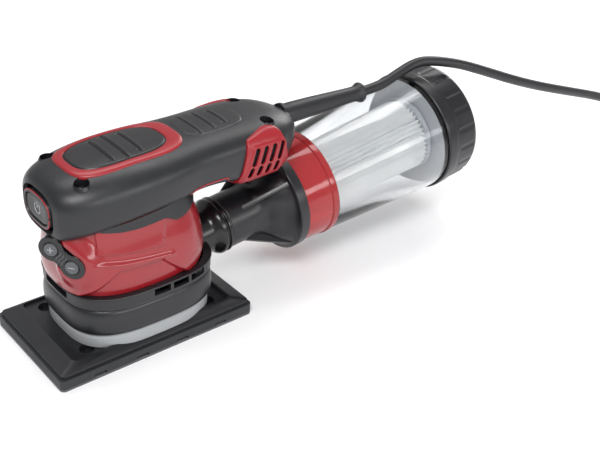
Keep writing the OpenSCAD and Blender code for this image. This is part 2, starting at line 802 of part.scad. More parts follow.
screw_recess_r = 4.2;
screw_boss_r = 6;
screw_head_h = 2.4;
screw_sink = 3;
// height at which the head of the screw at p seats
function screw_seat(p) = head_top(p[0], p[1]) - screw_sink - screw_head_h;
head_screw_x = -36;
head_screw_y = 19;
tail_screw_x = 90;
tail_screw_y = 17;
module housing_screws(p) {
  color("#26272a") for (s = [-1, 1]) translate([p[0], s * p[1], screw_seat(p)]) {
    translate([0, 0, -18]) cylinder(r = 1.9, h = 19);
    difference() {
      translate([0, 0, touch]) cylinder(r = 3.6, h = screw_head_h);
      translate([0, 0, 1.2]) cylinder(r = 1.8, h = 5, $fn = 6);
    }
  }
}
module head_screws() {
  housing_screws([head_screw_x, head_screw_y]);
}
module tail_screws() {
  housing_screws([tail_screw_x, tail_screw_y]);
}

// ---------- dust path ----------

port_x = 62;
port_z = 45.5;
port_wall = 2;
// children along the canister axis: local +Z runs to the rear from the port's mouth
module on_canister() {
  translate([port_x, 0, port_z]) rotate([0, 90 - can_tilt, 0]) children();
}
module port_space() {
  on_canister() translate([0, 0, -34]) cylinder(r = port_r + 0.05, h = 60);
}
lip_s = 6;
duct_in = 27;
module dust_duct() {
  color("#2b2c30") difference() {
    on_canister() duct_pipe();
    skirt_slab(0.5, 0, belt_z + touch);
  }
}
module duct_pipe() {
  difference() {
    union() {
      translate([0, 0, -duct_in]) cylinder(r = port_r, h = duct_in + lip_s + plug_depth);
      translate([0, 0, -6]) cylinder(r1 = port_r, r2 = port_r + 4, h = 5);
      translate([0, 0, -1]) cylinder(r = port_r + 4, h = lip_s);
    }
    translate([0, 0, -40]) cylinder(r = port_r - port_wall, h = 90);
  }
}
module port_seal() {
  color("#18191b") on_canister() translate([0, 0, lip_s - 1 + touch]) rotate_extrude()
    translate([port_r + 0.05, 0]) square([3.4, 0.9]);
}

// ---------- lead entry ----------

gland_x = tail_x - 4;
gland_z = 109.8;
gland_r = 5.5;
relief_root_r = 4.2;
module along_x(x, z) {
  translate([x, 0, z]) rotate([0, 90, 0]) children();
}
module cord_gland() {
  color("#202124") along_x(gland_x - 6, gland_z) difference() {
    union() {
      cylinder(r = gland_r, h = tail_x - gland_x + 7);
      translate([0, 0, tail_x - gland_x + 6 + touch]) cylinder(r = gland_r + 2.4, h = 2.4);
    }
    translate([0, 0, -1]) cylinder(r = relief_root_r + 0.05, h = 20);
  }
}
module strain_relief() {
  tip = LEAD_ROUTE[0][0] - gland_x;
  color("#1d1e21") along_x(gland_x, gland_z) rotate_extrude() polygon([
    [0, -10], [relief_root_r, -10], [relief_root_r, 6.5], [6.6, 6.5], [6.8, 12], [6.5, 28], [5.9, 44],
    [5.2, tip - 10], [5.2, tip - 5], [7, tip - 1.5], [6.4, tip], [0, tip]
  ]);
}
module cord_clamp() {
  color("#3a3b40") translate([gland_x - 20, -10, gland_z - 10]) difference() {
    cube([7, 20, 4.4]);
    for (s = [-1, 1]) translate([3.5, 10 + s * 7, -1]) cylinder(r = 1.5, h = 10);
  }
}

// ---------- dust canister ----------

funnel_s = 6;
funnel_l = 47.4;
collar_s = funnel_s + funnel_l;
collar_l = 24.2;
tube_s = collar_s + collar_l;
cap_s = tube_s + can_l;
taper = (can_rear_r - can_front_r) / (cap_s - collar_s);
function can_r(s) = can_front_r + taper * (s - collar_s);
neck_r = port_r + 3;
module funnel() {
  color("#26272a") on_canister() union() {
    rotate_extrude() polygon([
      [port_r + 0.1, funnel_s], [neck_r, funnel_s], [neck_r + 0.2, funnel_s + 22],
      [neck_r + 5, funnel_s + 27], [can_front_r - 2.5, collar_s - 8], [can_front_r + 0.9, collar_s - 6],
      [can_front_r + 0.9, collar_s], [can_front_r - 6, collar_s], [can_front_r - 6, collar_s - 6],
      [neck_r + 2.6, funnel_s + 29], [port_r + 0.1, funnel_s + 24]
    ]);
    for (a = [45:90:315]) rotate([0, 0, a]) rotate([90, 0, 0]) translate([0, 0, -1.6]) linear_extrude(3.2)
      polygon([
        [neck_r - 0.6, funnel_s + 10], [can_front_r + 0.2, collar_s - 6.5],
        [can_front_r - 4, collar_s - 6.5], [neck_r - 0.6, funnel_s + 24]
      ]);
  }
}
module canister_collar() {
  color("#b5303a", 0.8) on_canister() rotate_extrude() polygon([
    [can_front_r, collar_s + touch], [can_r(tube_s), tube_s], [can_r(tube_s) - can_wall, tube_s],
    [can_front_r - can_wall, collar_s + touch]
  ]);
}
module canister_tube() {
  color("#dfe6ea", 0.35) on_canister() rotate_extrude() polygon([
    [can_r(tube_s), tube_s + touch], [can_r(cap_s), cap_s], [can_r(cap_s) - 1.2, cap_s],
    [can_r(cap_s) - 1.2, cap_s + 9], [can_r(cap_s) - 1.2 - can_wall, cap_s + 9],
    [can_r(tube_s) - can_wall, tube_s + touch]
  ]);
}
filter_r = 25;
pleat_depth = 4;
filter_s = tube_s - 14;
filter_l = can_l + 8;
module filter_pleats() {
  color("#e9ebec") on_canister() translate([0, 0, filter_s]) linear_extrude(filter_l) difference() {
    polygon([for (i = [0:2 * pleats - 1])
      let (r = i % 2 == 0 ? filter_r : filter_r - pleat_depth, a = 180 * i / pleats)
      [r * cos(a), r * sin(a)]]);
    circle(r = filter_r - pleat_depth - 1.2);
  }
}
module filter_frame() {
  color("#3a3b40") on_canister() {
    translate([0, 0, filter_s + filter_l + touch]) cylinder(r = filter_r + 1, h = 3);
    translate([0, 0, filter_s - 3 - touch]) difference() {
      cylinder(r = filter_r + 1, h = 3);
      translate([0, 0, -1]) cylinder(r = filter_r - pleat_depth - 1.2, h = 5);
    }
    for (a = [0:90:270]) rotate([0, 0, a])
      translate([filter_r - 3, -2, collar_s + touch])
        cube([can_front_r - filter_r - 0.5, 4, filter_s - collar_s - 3]);
  }
}
module canister_seal() {
  color("#18191b") on_canister() rotate_extrude()
    translate([can_r(cap_s) - 1.2 + touch, cap_s + 1.5]) square([0.7, 2]);
}
cap_r = can_rear_r + 1.5;
cap_wall = 2.2;
scallops = 20;
module end_cap() {
  z0 = cap_s + 0.3;
  color("#1f2023") on_canister() difference() {
    rotate_extrude() polygon([
      [cap_r - cap_wall + 0.6, z0], [cap_r - 0.6, z0], [cap_r, z0 + 1.2], [cap_r, z0 + 8],
      [cap_r - 0.7, z0 + 9],
      [cap_r - 0.7, z0 + cap_l - 5], [cap_r - 2, z0 + cap_l - 2], [cap_r - 5, z0 + cap_l], [0, z0 + cap_l],
      [0, z0 + cap_l - cap_wall], [cap_r - 6, z0 + cap_l - cap_wall], [cap_r - 0.7 - cap_wall, z0 + cap_l - 6]
    ]);
    for (i = [0:scallops - 1]) rotate([0, 0, 360 * i / scallops])
      translate([cap_r + 4.4, 0, z0 + 11]) cylinder(r = 5.6, h = cap_l);
  }
}

// ---------- mains lead ----------

function unit(v) = v / norm(v);
// swept tube through points: a ring of lead_sides at each, square to the path
function sweep_ring(pts, i, r) =
  let (
    a = pts[max(i - 1, 0)],
    b = pts[min(i + 1, len(pts) - 1)],
    d = unit(b - a),
    side = unit(cross([0, 0, 1], d)),
    up = cross(d, side)
  )
  [for (k = [0:lead_sides - 1]) let (t = 360 * k / lead_sides) pts[i] + r * (cos(t) * side + sin(t) * up)];
// points of a smooth curve through the route, a few to each span
function route_points(p, n) = [
  for (i = [0:len(p) - 2], k = [0:n - 1])
    let (
      u = k / n,
      m0 = (p[min(i + 1, len(p) - 1)] - p[max(i - 1, 0)]) / 2,
      m1 = (p[min(i + 2, len(p) - 1)] - p[i]) / 2
    )
    (2 * u ^ 3 - 3 * u ^ 2 + 1) * p[i] + (u ^ 3 - 2 * u ^ 2 + u) * m0
      + (3 * u ^ 2 - 2 * u ^ 3) * p[i + 1] + (u ^ 3 - u ^ 2) * m1,
  p[len(p) - 1]
];
module lead_tube(route, n) {
  pts = route_points(route, n);
  loft([for (i = [0:len(pts) - 1]) sweep_ring(pts, i, lead_d / 2)]);
}
module cord() {
  color("#1b1c1e") lead_tube(LEAD_ROUTE, 2);
}
module cord_tail() {
  color("#1b1c1e") lead_tube(TAIL_ROUTE, 2);
}
coil_half_w = coil_turns_wide * lead_d / 2;
module cord_coil() {
  color("#1b1c1e") translate([coil_pos[0], coil_pos[1], 0]) rotate_extrude() polygon([
    [coil_mid_r - coil_half_w, 2], [coil_mid_r - coil_half_w + 2, 0], [coil_mid_r + coil_half_w - 2, 0],
    [coil_mid_r + coil_half_w, 2], [coil_mid_r + coil_half_w, coil_turns_high * lead_d - 2],
    [coil_mid_r + coil_half_w - 2, coil_turns_high * lead_d],
    [coil_mid_r - coil_half_w + 2, coil_turns_high * lead_d],
    [coil_mid_r - coil_half_w, coil_turns_high * lead_d - 2]
  ]);
}
tie_w = 9;
tie_t = 1;
module cord_tie() {
  w = 2 * coil_half_w + 2 * tie_t;
  h = coil_turns_high * lead_d;
  color("#26272a") translate([coil_pos[0] + coil_mid_r, coil_pos[1], 0]) difference() {
    translate([-w / 2, -tie_w / 2, 0]) cube([w, tie_w, h + tie_t]);
    translate([-w / 2 + tie_t, -tie_w / 2 - 1, -1]) cube([w - 2 * tie_t, tie_w + 2, h + 1]);
  }
}
pin_r = 2.4;
pin_l = 19;
pin_gap = 19;
module plug() {
  color("#1b1c1e") translate(plug_pos) rotate([0, -90, 0]) {
    difference() {
      union() {
        cylinder(r1 = 5, r2 = 6.5, h = 16);
        translate([0, 0, 14]) slab(2 * 8.4, 36, 6, 0, plug_l - 14);
      }
    }
  }
  color("#c7c9cc") translate(plug_pos) rotate([0, -90, 0]) for (s = [-1, 1])
    translate([0, s * pin_gap / 2, plug_l - 1]) cylinder(r = pin_r, h = pin_l + 1);
}

hook_face();
pad_foam();
pad_plate();
seal_ring();
pad_hub();
pad_screws();
crank_bearing();
motor_shaft();
magnet_rotor();
counterweight();
suction_fan();
crank_screw();
rubber_skirt();
vent_belt();
rubber_posts();
motor_plate();
lower_bearing();
motor_sleeve();
stator();
stator_coils();
upper_bracket();
upper_bearing();
lower_housing();
grip_left();
grip_right();
trim_ring();
front_inlay();
rear_inlay();
button_bezel();
power_button();
switch_block();
control_board();
capacitor();
keypad_frame();
speed_up_button();
speed_down_button();
vent_cover_left();
vent_cover_right();
head_screws();
tail_screws();
dust_duct();
port_seal();
cord_gland();
strain_relief();
cord_clamp();
funnel();
canister_collar();
canister_tube();
filter_pleats();
filter_frame();
canister_seal();
end_cap();
cord();
cord_coil();
cord_tail();
cord_tie();
plug();
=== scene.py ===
import json
import math
import bmesh
import bpy
import numpy as np
from mathutils import Matrix, Vector

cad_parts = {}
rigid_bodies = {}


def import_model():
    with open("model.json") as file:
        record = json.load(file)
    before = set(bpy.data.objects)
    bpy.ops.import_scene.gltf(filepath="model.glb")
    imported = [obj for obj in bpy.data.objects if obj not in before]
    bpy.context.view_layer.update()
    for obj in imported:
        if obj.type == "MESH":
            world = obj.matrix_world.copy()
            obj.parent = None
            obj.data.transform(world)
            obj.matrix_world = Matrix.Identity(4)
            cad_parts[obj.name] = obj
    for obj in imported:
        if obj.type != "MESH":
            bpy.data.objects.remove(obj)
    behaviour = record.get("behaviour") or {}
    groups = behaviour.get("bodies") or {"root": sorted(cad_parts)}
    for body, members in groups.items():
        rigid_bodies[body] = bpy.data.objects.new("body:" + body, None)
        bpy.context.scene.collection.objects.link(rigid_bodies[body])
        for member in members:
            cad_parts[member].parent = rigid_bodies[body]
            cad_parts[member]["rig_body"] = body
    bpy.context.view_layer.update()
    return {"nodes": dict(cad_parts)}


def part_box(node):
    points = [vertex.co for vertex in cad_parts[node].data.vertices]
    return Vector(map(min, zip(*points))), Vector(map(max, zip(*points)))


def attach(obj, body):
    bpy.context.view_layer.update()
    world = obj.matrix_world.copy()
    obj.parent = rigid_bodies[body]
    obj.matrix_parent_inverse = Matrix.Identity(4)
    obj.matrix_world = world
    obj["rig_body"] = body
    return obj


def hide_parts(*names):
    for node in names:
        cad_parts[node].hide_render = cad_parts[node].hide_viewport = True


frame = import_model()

# Geometry is worked out in millimetres and put into the meshes in metres.
MM = 0.001
nodes = frame["nodes"]
scene = bpy.context.scene


def node_box(name):
    """Lowest and highest corner of a CAD node, in millimetres."""
    low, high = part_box(name)
    return np.array(low) / MM, np.array(high) / MM


# ---------- camera, light and floor ----------

CAMERA_PLACE = (-0.25258, -0.43515, 0.37012)
# the camera's own directions: right, up and backward
CAMERA_AXES = (0.7664, -0.6394, 0.0606), (0.2891, 0.4277, 0.8566), (-0.5737, -0.6388, 0.5127)
SENSOR_WIDTH, FOCAL_LENGTH = 36, 59.09
FLOOR_HALF = 6.0


def place_camera():
    """Stands at the front left of the sander, above it, turned a little about its own axis."""
    data = bpy.data.cameras.new("camera")
    data.sensor_width, data.lens = SENSOR_WIDTH, FOCAL_LENGTH
    data.clip_start, data.clip_end = 0.01, 50
    camera = bpy.data.objects.new("camera", data)
    camera.matrix_world = Matrix.Translation(CAMERA_PLACE) @ Matrix(CAMERA_AXES).transposed().to_4x4()
    scene.collection.objects.link(camera)
    scene.camera = camera


def soft_box(name, place, aim, size, watts):
    data = bpy.data.lights.new(name, "AREA")
    data.shape = "RECTANGLE"
    data.size, data.size_y = size
    data.energy = watts
    lamp = bpy.data.objects.new(name, data)
    lamp.location = place
    lamp.rotation_mode = "QUATERNION"
    lamp.rotation_quaternion = (Vector(aim) - Vector(place)).to_track_quat("-Z", "Y")
    scene.collection.objects.link(lamp)


def light_studio():
    world = bpy.data.worlds.new("studio")
    world.use_nodes = True
    sky = world.node_tree.nodes["Background"]
    sky.inputs["Color"].default_value = (1.0, 1.0, 1.0, 1)
    sky.inputs["Strength"].default_value = 0.50
    scene.world = world
    middle = (0.1, 0.0, 0.07)
    soft_box("key", (-0.55, -0.65, 1.1), middle, (0.6, 0.4), 12)
    soft_box("side", (0.25, -1.2, 0.45), middle, (1.3, 0.22), 6)
    soft_box("top", (0.3, 0.35, 1.2), middle, (1.2, 0.35), 7)
    soft_box("rear", (1.2, 0.5, 0.7), middle, (0.5, 0.8), 5)


def lay_floor():
    mesh = bpy.data.meshes.new("floor")
    corners = [(x * FLOOR_HALF, y * FLOOR_HALF, 0) for x, y in ((-1, -1), (1, -1), (1, 1), (-1, 1))]
    mesh.from_pydata(corners, [], [(0, 1, 2, 3)])
    floor = bpy.data.objects.new("floor", mesh)
    scene.collection.objects.link(floor)
    paper = bpy.data.materials.new("floor_paper")
    paper.use_nodes = True
    shader = paper.node_tree.nodes["Principled BSDF"]
    shader.inputs["Base Color"].default_value = (0.93, 0.93, 0.94, 1)
    shader.inputs["Roughness"].default_value = 0.85
    mesh.materials.append(paper)


# ---------- materials ----------

class Finish:
    """A material under construction: its nodes, and the object coordinates that its patterns read."""

    def __init__(self, name):
        self.material = bpy.data.materials.new(name)
        self.material.use_nodes = True
        self.tree = self.material.node_tree
        self.shader = self.tree.nodes["Principled BSDF"]
        self.place = self.tree.nodes.new("ShaderNodeTexCoord").outputs["Object"]

    def link(self, source, socket):
        self.tree.links.new(source, socket)

    def set(self, **values):
        for name, value in values.items():
            self.shader.inputs[name.replace("_", " ")].default_value = value

    def noise(self, per_metre, detail=3.0, stretch=(1, 1, 1)):
        turn = self.tree.nodes.new("ShaderNodeMapping")
        turn.inputs["Scale"].default_value = stretch
        self.link(self.place, turn.inputs["Vector"])
        node = self.tree.nodes.new("ShaderNodeTexNoise")
        node.inputs["Scale"].default_value = per_metre
        node.inputs["Detail"].default_value = detail
        self.link(turn.outputs[0], node.inputs["Vector"])
        return node.outputs["Fac"]

    def range(self, value, low, high, out_low, out_high):
        node = self.tree.nodes.new("ShaderNodeMapRange")
        node.inputs["From Min"].default_value = low
        node.inputs["From Max"].default_value = high
        node.inputs["To Min"].default_value = out_low
        node.inputs["To Max"].default_value = out_high
        self.link(value, node.inputs["Value"])
        return node.outputs["Result"]

    def mix(self, factor, first, second):
        node = self.tree.nodes.new("ShaderNodeMix")
        node.data_type = "RGBA"
        self.link(factor, node.inputs["Factor"])
        for socket, value in (("A", first), ("B", second)):
            plug = [s for s in node.inputs if s.name == socket and s.type == "RGBA"][0]
            if hasattr(value, "default_value"):
                self.link(value, plug)
            else:
                plug.default_value = (*value, 1)
        return [s for s in node.outputs if s.type == "RGBA"][0]

    def edges(self):
        """How convex the surface is, for wear on edges."""
        worn = self.tree.nodes.new("ShaderNodeNewGeometry").outputs["Pointiness"]
        return self.range(worn, 0.52, 0.62, 0.0, 1.0)

    def bump(self, height, depth_mm):
        node = self.tree.nodes.new("ShaderNodeBump")
        node.inputs["Strength"].default_value = 1.0
        node.inputs["Distance"].default_value = depth_mm * MM
        self.link(height, node.inputs["Height"])
        self.link(node.outputs["Normal"], self.shader.inputs["Normal"])


def shade(colour, factor):
    return tuple(min(1.0, c * factor) for c in colour)


def moulded(name, colour, roughness, grain=2600, depth=0.02, patch=0.08, wear=0.35, spread=0.06, **more):
    """Moulded plastic or rubber: faint patches in the colour, a fine grain, and edges rubbed a little lighter."""
    f = Finish(name)
    base = f.mix(f.noise(22, 2.0), shade(colour, 1 - patch), shade(colour, 1 + patch))
    light = shade(tuple(0.8 * c + 0.008 for c in colour), 1 + wear)
    worn = f.mix(f.range(f.edges(), 0, 1, 0, 0.5 * wear), base, light)
    f.link(worn, f.shader.inputs["Base Color"])
    rough = f.range(f.noise(70, 3.0), 0.3, 0.7, roughness - spread, roughness + spread)
    f.link(rough, f.shader.inputs["Roughness"])
    f.bump(f.noise(grain, 2.0), depth)
    f.set(**more)
    return f.material


def metal(name, colour, roughness, stretch=(1, 1, 8)):
    """Machined or cast metal: fine drawn marks across one direction and a slight tarnish."""
    f = Finish(name)
    base = f.mix(f.noise(60, 4.0), shade(colour, 0.85), colour)
    f.link(base, f.shader.inputs["Base Color"])
    marks = f.noise(900, 2.0, stretch)
    f.link(f.range(marks, 0.3, 0.7, roughness - 0.08, roughness + 0.1), f.shader.inputs["Roughness"])
    f.bump(marks, 0.01)
    f.set(Metallic=1.0)
    return f.material


def clear(name, colour, roughness, haze, **more):
    """Clear plastic: almost smooth, with faint flow marks and a trace of dust."""
    f = Finish(name)
    base = f.mix(f.range(f.noise(35, 4.0), 0.35, 0.75, 0, haze), colour, shade(colour, 0.86))
    f.link(base, f.shader.inputs["Base Color"])
    f.link(f.range(f.noise(120, 3.0), 0.3, 0.8, roughness, roughness + 0.06), f.shader.inputs["Roughness"])
    f.bump(f.noise(60, 2.0), 0.02)
    f.set(**more)
    return f.material


def hook_facing(name):
    """Hook fabric: a dense speckle of dark loops."""
    f = Finish(name)
    loops = f.noise(1400, 3.0)
    f.link(f.mix(loops, (0.03, 0.03, 0.035), (0.12, 0.12, 0.13)), f.shader.inputs["Base Color"])
    f.set(Roughness=0.95, Sheen_Weight=0.3)
    f.bump(loops, 0.3)
    return f.material


def filter_paper(name):
    """Pleated filter paper: warm white and fibrous, with streaks a little grey."""
    f = Finish(name)
    fibre = f.noise(700, 4.0, (0.2, 1, 1))
    f.link(f.mix(fibre, (0.78, 0.79, 0.80), (0.93, 0.93, 0.92)), f.shader.inputs["Base Color"])
    f.set(Roughness=0.9)
    f.bump(fibre, 0.05)
    return f.material


def circuit_board(name):
    """Green board with a faint pattern of tracks."""
    f = Finish(name)
    tracks = f.range(f.noise(260, 0.0, (1, 3, 1)), 0.48, 0.52, 0, 1)
    f.link(f.mix(tracks, (0.02, 0.12, 0.05), (0.05, 0.22, 0.09)), f.shader.inputs["Base Color"])
    f.set(Roughness=0.4)
    return f.material


# Each material's maker and values. Moulded: colour, roughness, grain per metre, depth of the grain in mm,
# patches, wear, spread of roughness. Metal: colour, roughness, stretch of the marks. Clear: colour, roughness,
# haze. A dict at the end sets inputs of the shader.
MAKE = {
    "soft_grip": (moulded, (0.010, 0.0105, 0.0125), 0.38, 3200, 0.035, 0.06, 0.25, 0.05),
    "red_gloss": (moulded, (0.25, 0.007, 0.012), 0.24, 900, 0.004, 0.05, 0.3, 0.04, {"Coat_Weight": 0.35}),
    "red_satin": (moulded, (0.27, 0.008, 0.014), 0.34, 2200, 0.012, 0.05, 0.3, 0.05),
    "black_gloss": (moulded, (0.005, 0.005, 0.006), 0.22, 1200, 0.006, 0.1, 0.3, 0.05),
    "black_satin": (moulded, (0.007, 0.007, 0.009), 0.34, 2400, 0.02, 0.1, 0.35),
    "dark_satin": (moulded, (0.010, 0.010, 0.012), 0.38, 2600, 0.03, 0.08, 0.3),
    "plate_plastic": (moulded, (0.011, 0.0115, 0.014), 0.36, 1900, 0.05, 0.08, 0.5),
    "pad_foam": (moulded, (0.016, 0.017, 0.020), 0.6, 1200, 0.12, 0.1, 0.4),
    "skirt_rubber": (moulded, (0.010, 0.0105, 0.0125), 0.34, 2100, 0.03, 0.08, 0.3),
    "seal_grey": (moulded, (0.30, 0.31, 0.32), 0.4, 1800, 0.02, 0.05, 0.2),
    "key_grey": (moulded, (0.075, 0.078, 0.085), 0.38, 2200, 0.02, 0.05, 0.3),
    "mark_grey": (moulded, (0.30, 0.31, 0.33), 0.4, 2200, 0.01, 0.05, 0.2),
    "lead_rubber": (moulded, (0.010, 0.010, 0.012), 0.42, 1600, 0.03, 0.1, 0.2),
    "aluminium": (metal, (0.56, 0.57, 0.58), 0.42),
    "steel": (metal, (0.55, 0.56, 0.57), 0.26),
    "lamination": (metal, (0.22, 0.23, 0.24), 0.5, (1, 1, 30)),
    "copper": (metal, (0.62, 0.28, 0.12), 0.35, (8, 1, 1)),
    "brass": (metal, (0.55, 0.44, 0.20), 0.33),
    "screw_black": (metal, (0.06, 0.06, 0.065), 0.34),
    "frosted": (moulded, (0.50, 0.52, 0.55), 0.22, 1800, 0.01, 0.06, 0.2),
    "clear_tube": (clear, (0.97, 0.98, 0.99), 0.03, 0.4, {"Transmission_Weight": 1.0, "IOR": 1.46}),
    "clear_red": (clear, (0.55, 0.045, 0.05), 0.08, 0.3, {"Transmission_Weight": 0.55, "IOR": 1.46}),
    "hook_facing": (hook_facing,),
    "filter_paper": (filter_paper,),
    "circuit_board": (circuit_board,),
}
_made = {}


def material(name):
    if name not in _made:
        make, *values = MAKE[name]
        inputs = values.pop() if values and isinstance(values[-1], dict) else {}
        _made[name] = make(name, *values, **inputs)
    return _made[name]


# Finish and record slot of every CAD node; pieces made for a node take its finish unless they are given their own.
FINISHES = {
    "hook_face": ("hook_facing", "hook_fabric"), "pad_foam": ("pad_foam", "pad_foam"),
    "pad_plate": ("plate_plastic", "pad_plastic"), "seal_ring": ("seal_grey", "seal_grey"),
    "pad_hub": ("aluminium", "cast_aluminium"), "pad_screws": ("steel", "steel"),
    "crank_bearing": ("steel", "steel"), "motor_shaft": ("steel", "steel"),
    "magnet_rotor": ("lamination", "lamination"), "counterweight": ("brass", "balance_brass"),
    "suction_fan": ("black_satin", "black_plastic"), "crank_screw": ("screw_black", "screw_black"),
    "rubber_skirt": ("skirt_rubber", "skirt_rubber"), "vent_belt": ("dark_satin", "black_plastic"),
    "rubber_posts": ("lead_rubber", "skirt_rubber"), "motor_plate": ("aluminium", "cast_aluminium"),
    "lower_bearing": ("steel", "steel"), "motor_sleeve": ("aluminium", "cast_aluminium"),
    "stator": ("lamination", "lamination"), "stator_coils": ("copper", "copper_winding"),
    "upper_bracket": ("aluminium", "cast_aluminium"), "upper_bearing": ("steel", "steel"),
    "lower_housing": ("red_gloss", "red_plastic"), "grip_left": ("soft_grip", "soft_grip"),
    "grip_right": ("soft_grip", "soft_grip"), "trim_ring": ("red_satin", "red_plastic"),
    "front_inlay": ("dark_satin", "inlay_plastic"), "rear_inlay": ("dark_satin", "inlay_plastic"),
    "button_bezel": ("red_satin", "red_plastic"), "power_button": ("dark_satin", "inlay_plastic"),
    "switch_block": ("black_satin", "black_plastic"), "control_board": ("circuit_board", "circuit_board"),
    "capacitor": ("black_gloss", "black_plastic"), "keypad_frame": ("black_gloss", "black_plastic"),
    "speed_up_button": ("key_grey", "key_grey"), "speed_down_button": ("key_grey", "key_grey"),
    "vent_cover_left": ("red_satin", "red_plastic"), "vent_cover_right": ("red_satin", "red_plastic"),
    "head_screws": ("screw_black", "screw_black"), "tail_screws": ("screw_black", "screw_black"),
    "dust_duct": ("black_satin", "black_plastic"), "port_seal": ("lead_rubber", "skirt_rubber"),
    "cord_gland": ("black_satin", "black_plastic"), "strain_relief": ("lead_rubber", "lead_rubber"),
    "cord_clamp": ("dark_satin", "black_plastic"), "funnel": ("black_gloss", "black_plastic"),
    "canister_collar": ("clear_red", "clear_red"), "canister_tube": ("clear_tube", "clear_plastic"),
    "filter_pleats": ("filter_paper", "filter_paper"), "filter_frame": ("frosted", "black_plastic"),
    "canister_seal": ("lead_rubber", "skirt_rubber"), "end_cap": ("black_satin", "black_plastic"),
    "cord": ("lead_rubber", "lead_rubber"), "cord_coil": ("lead_rubber", "lead_rubber"),
    "cord_tail": ("lead_rubber", "lead_rubber"), "cord_tie": ("black_satin", "black_plastic"),
    "plug": ("black_satin", "plug_plastic"),
}


def finish_cad_nodes():
    for name, (finish, _) in FINISHES.items():
        slots = nodes[name].data.materials
        slots.clear()
        slots.append(material(finish))


# ---------- making pieces ----------

SHARP, SHARP_CUT = math.radians(38), math.radians(35)


def circle(steps):
    """Angles once round, without the last one, which is the first again."""
    return np.linspace(0, 2 * np.pi, steps, endpoint=False)


def merge_doubles(mesh, distance, flat=0):
    """Merges points nearer than distance, in mm, and joins faces that meet at less than flat degrees."""
    work = bmesh.new()
    work.from_mesh(mesh)
    bmesh.ops.remove_doubles(work, verts=work.verts, dist=distance * MM)
    if flat:
        bmesh.ops.dissolve_limit(work, angle_limit=math.radians(flat), verts=work.verts, edges=work.edges)
    work.to_mesh(mesh)
    work.free()


def surface(name, grid, node, finish=None, body=None, wrap=(False, False), thick=0, keep=False):
    """A grid of points, rows by columns, becomes a mesh of quads; doubled points at poles are merged.
    The faces are turned so that most look away from the middle. It takes the body, and unless finish
    says otherwise the finish, of the CAD node that it stands for or belongs to."""
    rows, columns = grid.shape[:2]
    i, j = np.meshgrid(
        np.arange(rows if wrap[0] else rows - 1), np.arange(columns if wrap[1] else columns - 1), indexing="ij"
    )
    i2, j2 = (i + 1) % rows, (j + 1) % columns
    quads = np.stack([i * columns + j, i2 * columns + j, i2 * columns + j2, i * columns + j2], -1).reshape(-1, 4)
    points = grid.reshape(-1, 3)
    corner = points[quads]
    normal = np.cross(corner[:, 2] - corner[:, 0], corner[:, 3] - corner[:, 1])
    if np.sum((corner.mean(1) - points.mean(0)) * normal) < 0:
        quads = quads[:, ::-1]
    mesh = bpy.data.meshes.new(name)
    mesh.vertices.add(len(points))
    mesh.vertices.foreach_set("co", (np.asarray(points, float) * MM).ravel())
    mesh.loops.add(quads.size)
    mesh.loops.foreach_set("vertex_index", np.ascontiguousarray(quads).ravel())
    mesh.polygons.add(len(quads))
    mesh.polygons.foreach_set("loop_start", np.arange(len(quads)) * 4)
    mesh.update(calc_edges=True)
    merge_doubles(mesh, 0.002)
    return dress(name, mesh, node, finish, body, thick, keep=keep)


def dress(name, mesh, node, finish=None, body=None, thick=0, bevel=0, keep=False):
    """Gives a mesh its object, body, finish, wall and rounded edges. keep leaves the CAD node showing."""
    mesh.polygons.foreach_set("use_smooth", np.ones(len(mesh.polygons), bool))
    mesh.set_sharp_from_angle(angle=SHARP)
    piece = bpy.data.objects.new(name, mesh)
    scene.collection.objects.link(piece)
    cad_finish, slot = FINISHES[node]
    mesh.materials.clear()
    mesh.materials.append(material(finish or cad_finish))
    if thick:
        wall = piece.modifiers.new("wall", "SOLIDIFY")
        wall.thickness = thick * MM
        wall.offset = -1
    if bevel:
        edge = piece.modifiers.new("edge", "BEVEL")
        edge.width = bevel * MM
        edge.segments = 2
        edge.limit_method = "ANGLE"
        edge.angle_limit = SHARP
        edge.harden_normals = True
    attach(piece, body or nodes[node]["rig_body"])
    if not keep:
        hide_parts(node)
    return piece


def rounded_copy(node, bevel):
    """A copy of a CAD node with its doubles merged, its flat faces joined and its edges rounded."""
    mesh = nodes[node].data.copy()
    merge_doubles(mesh, 0.01, 0.5)
    return dress(node + "_rounded", mesh, node, bevel=bevel)


def drill(piece, cutters):
    """Cuts closed shapes out of a piece, after its other modifiers."""
    tool_mesh = bpy.data.meshes.new("tool")
    work = bmesh.new()
    for points, quads in cutters:
        made = [work.verts.new(Vector(p) * MM) for p in points]
        for quad in quads:
            work.faces.new([made[k] for k in quad])
    bmesh.ops.recalc_face_normals(work, faces=work.faces)
    work.to_mesh(tool_mesh)
    work.free()
    tool = bpy.data.objects.new("tool", tool_mesh)
    scene.collection.objects.link(tool)
    cut = piece.modifiers.new("cut", "BOOLEAN")
    cut.object = tool
    cut.operation = "DIFFERENCE"
    cut.solver = "EXACT"
    bpy.context.view_layer.update()
    graph = bpy.context.evaluated_depsgraph_get()
    done = bpy.data.meshes.new_from_object(piece.evaluated_get(graph))
    piece.modifiers.clear()
    piece.data = done
    done.polygons.foreach_set("use_smooth", np.ones(len(done.polygons), bool))
    done.set_sharp_from_angle(angle=SHARP_CUT)
    bpy.data.objects.remove(tool)


def prism(outline, direction, start, length):
    """Closed cutter: an outline of points in space, swept along a direction from start for length."""
    outline = np.asarray(outline, float)
    direction = np.asarray(direction, float) / np.linalg.norm(direction)
    n = len(outline)
    points = np.concatenate([outline + direction * start, outline + direction * (start + length)])
    faces = [[k, (k + 1) % n, n + (k + 1) % n, n + k] for k in range(n)]
    faces += [list(range(n)), list(range(n, 2 * n))]
    return points, faces


def unit(v):
    v = np.asarray(v, float)
    return v / np.linalg.norm(v, axis=-1, keepdims=True)


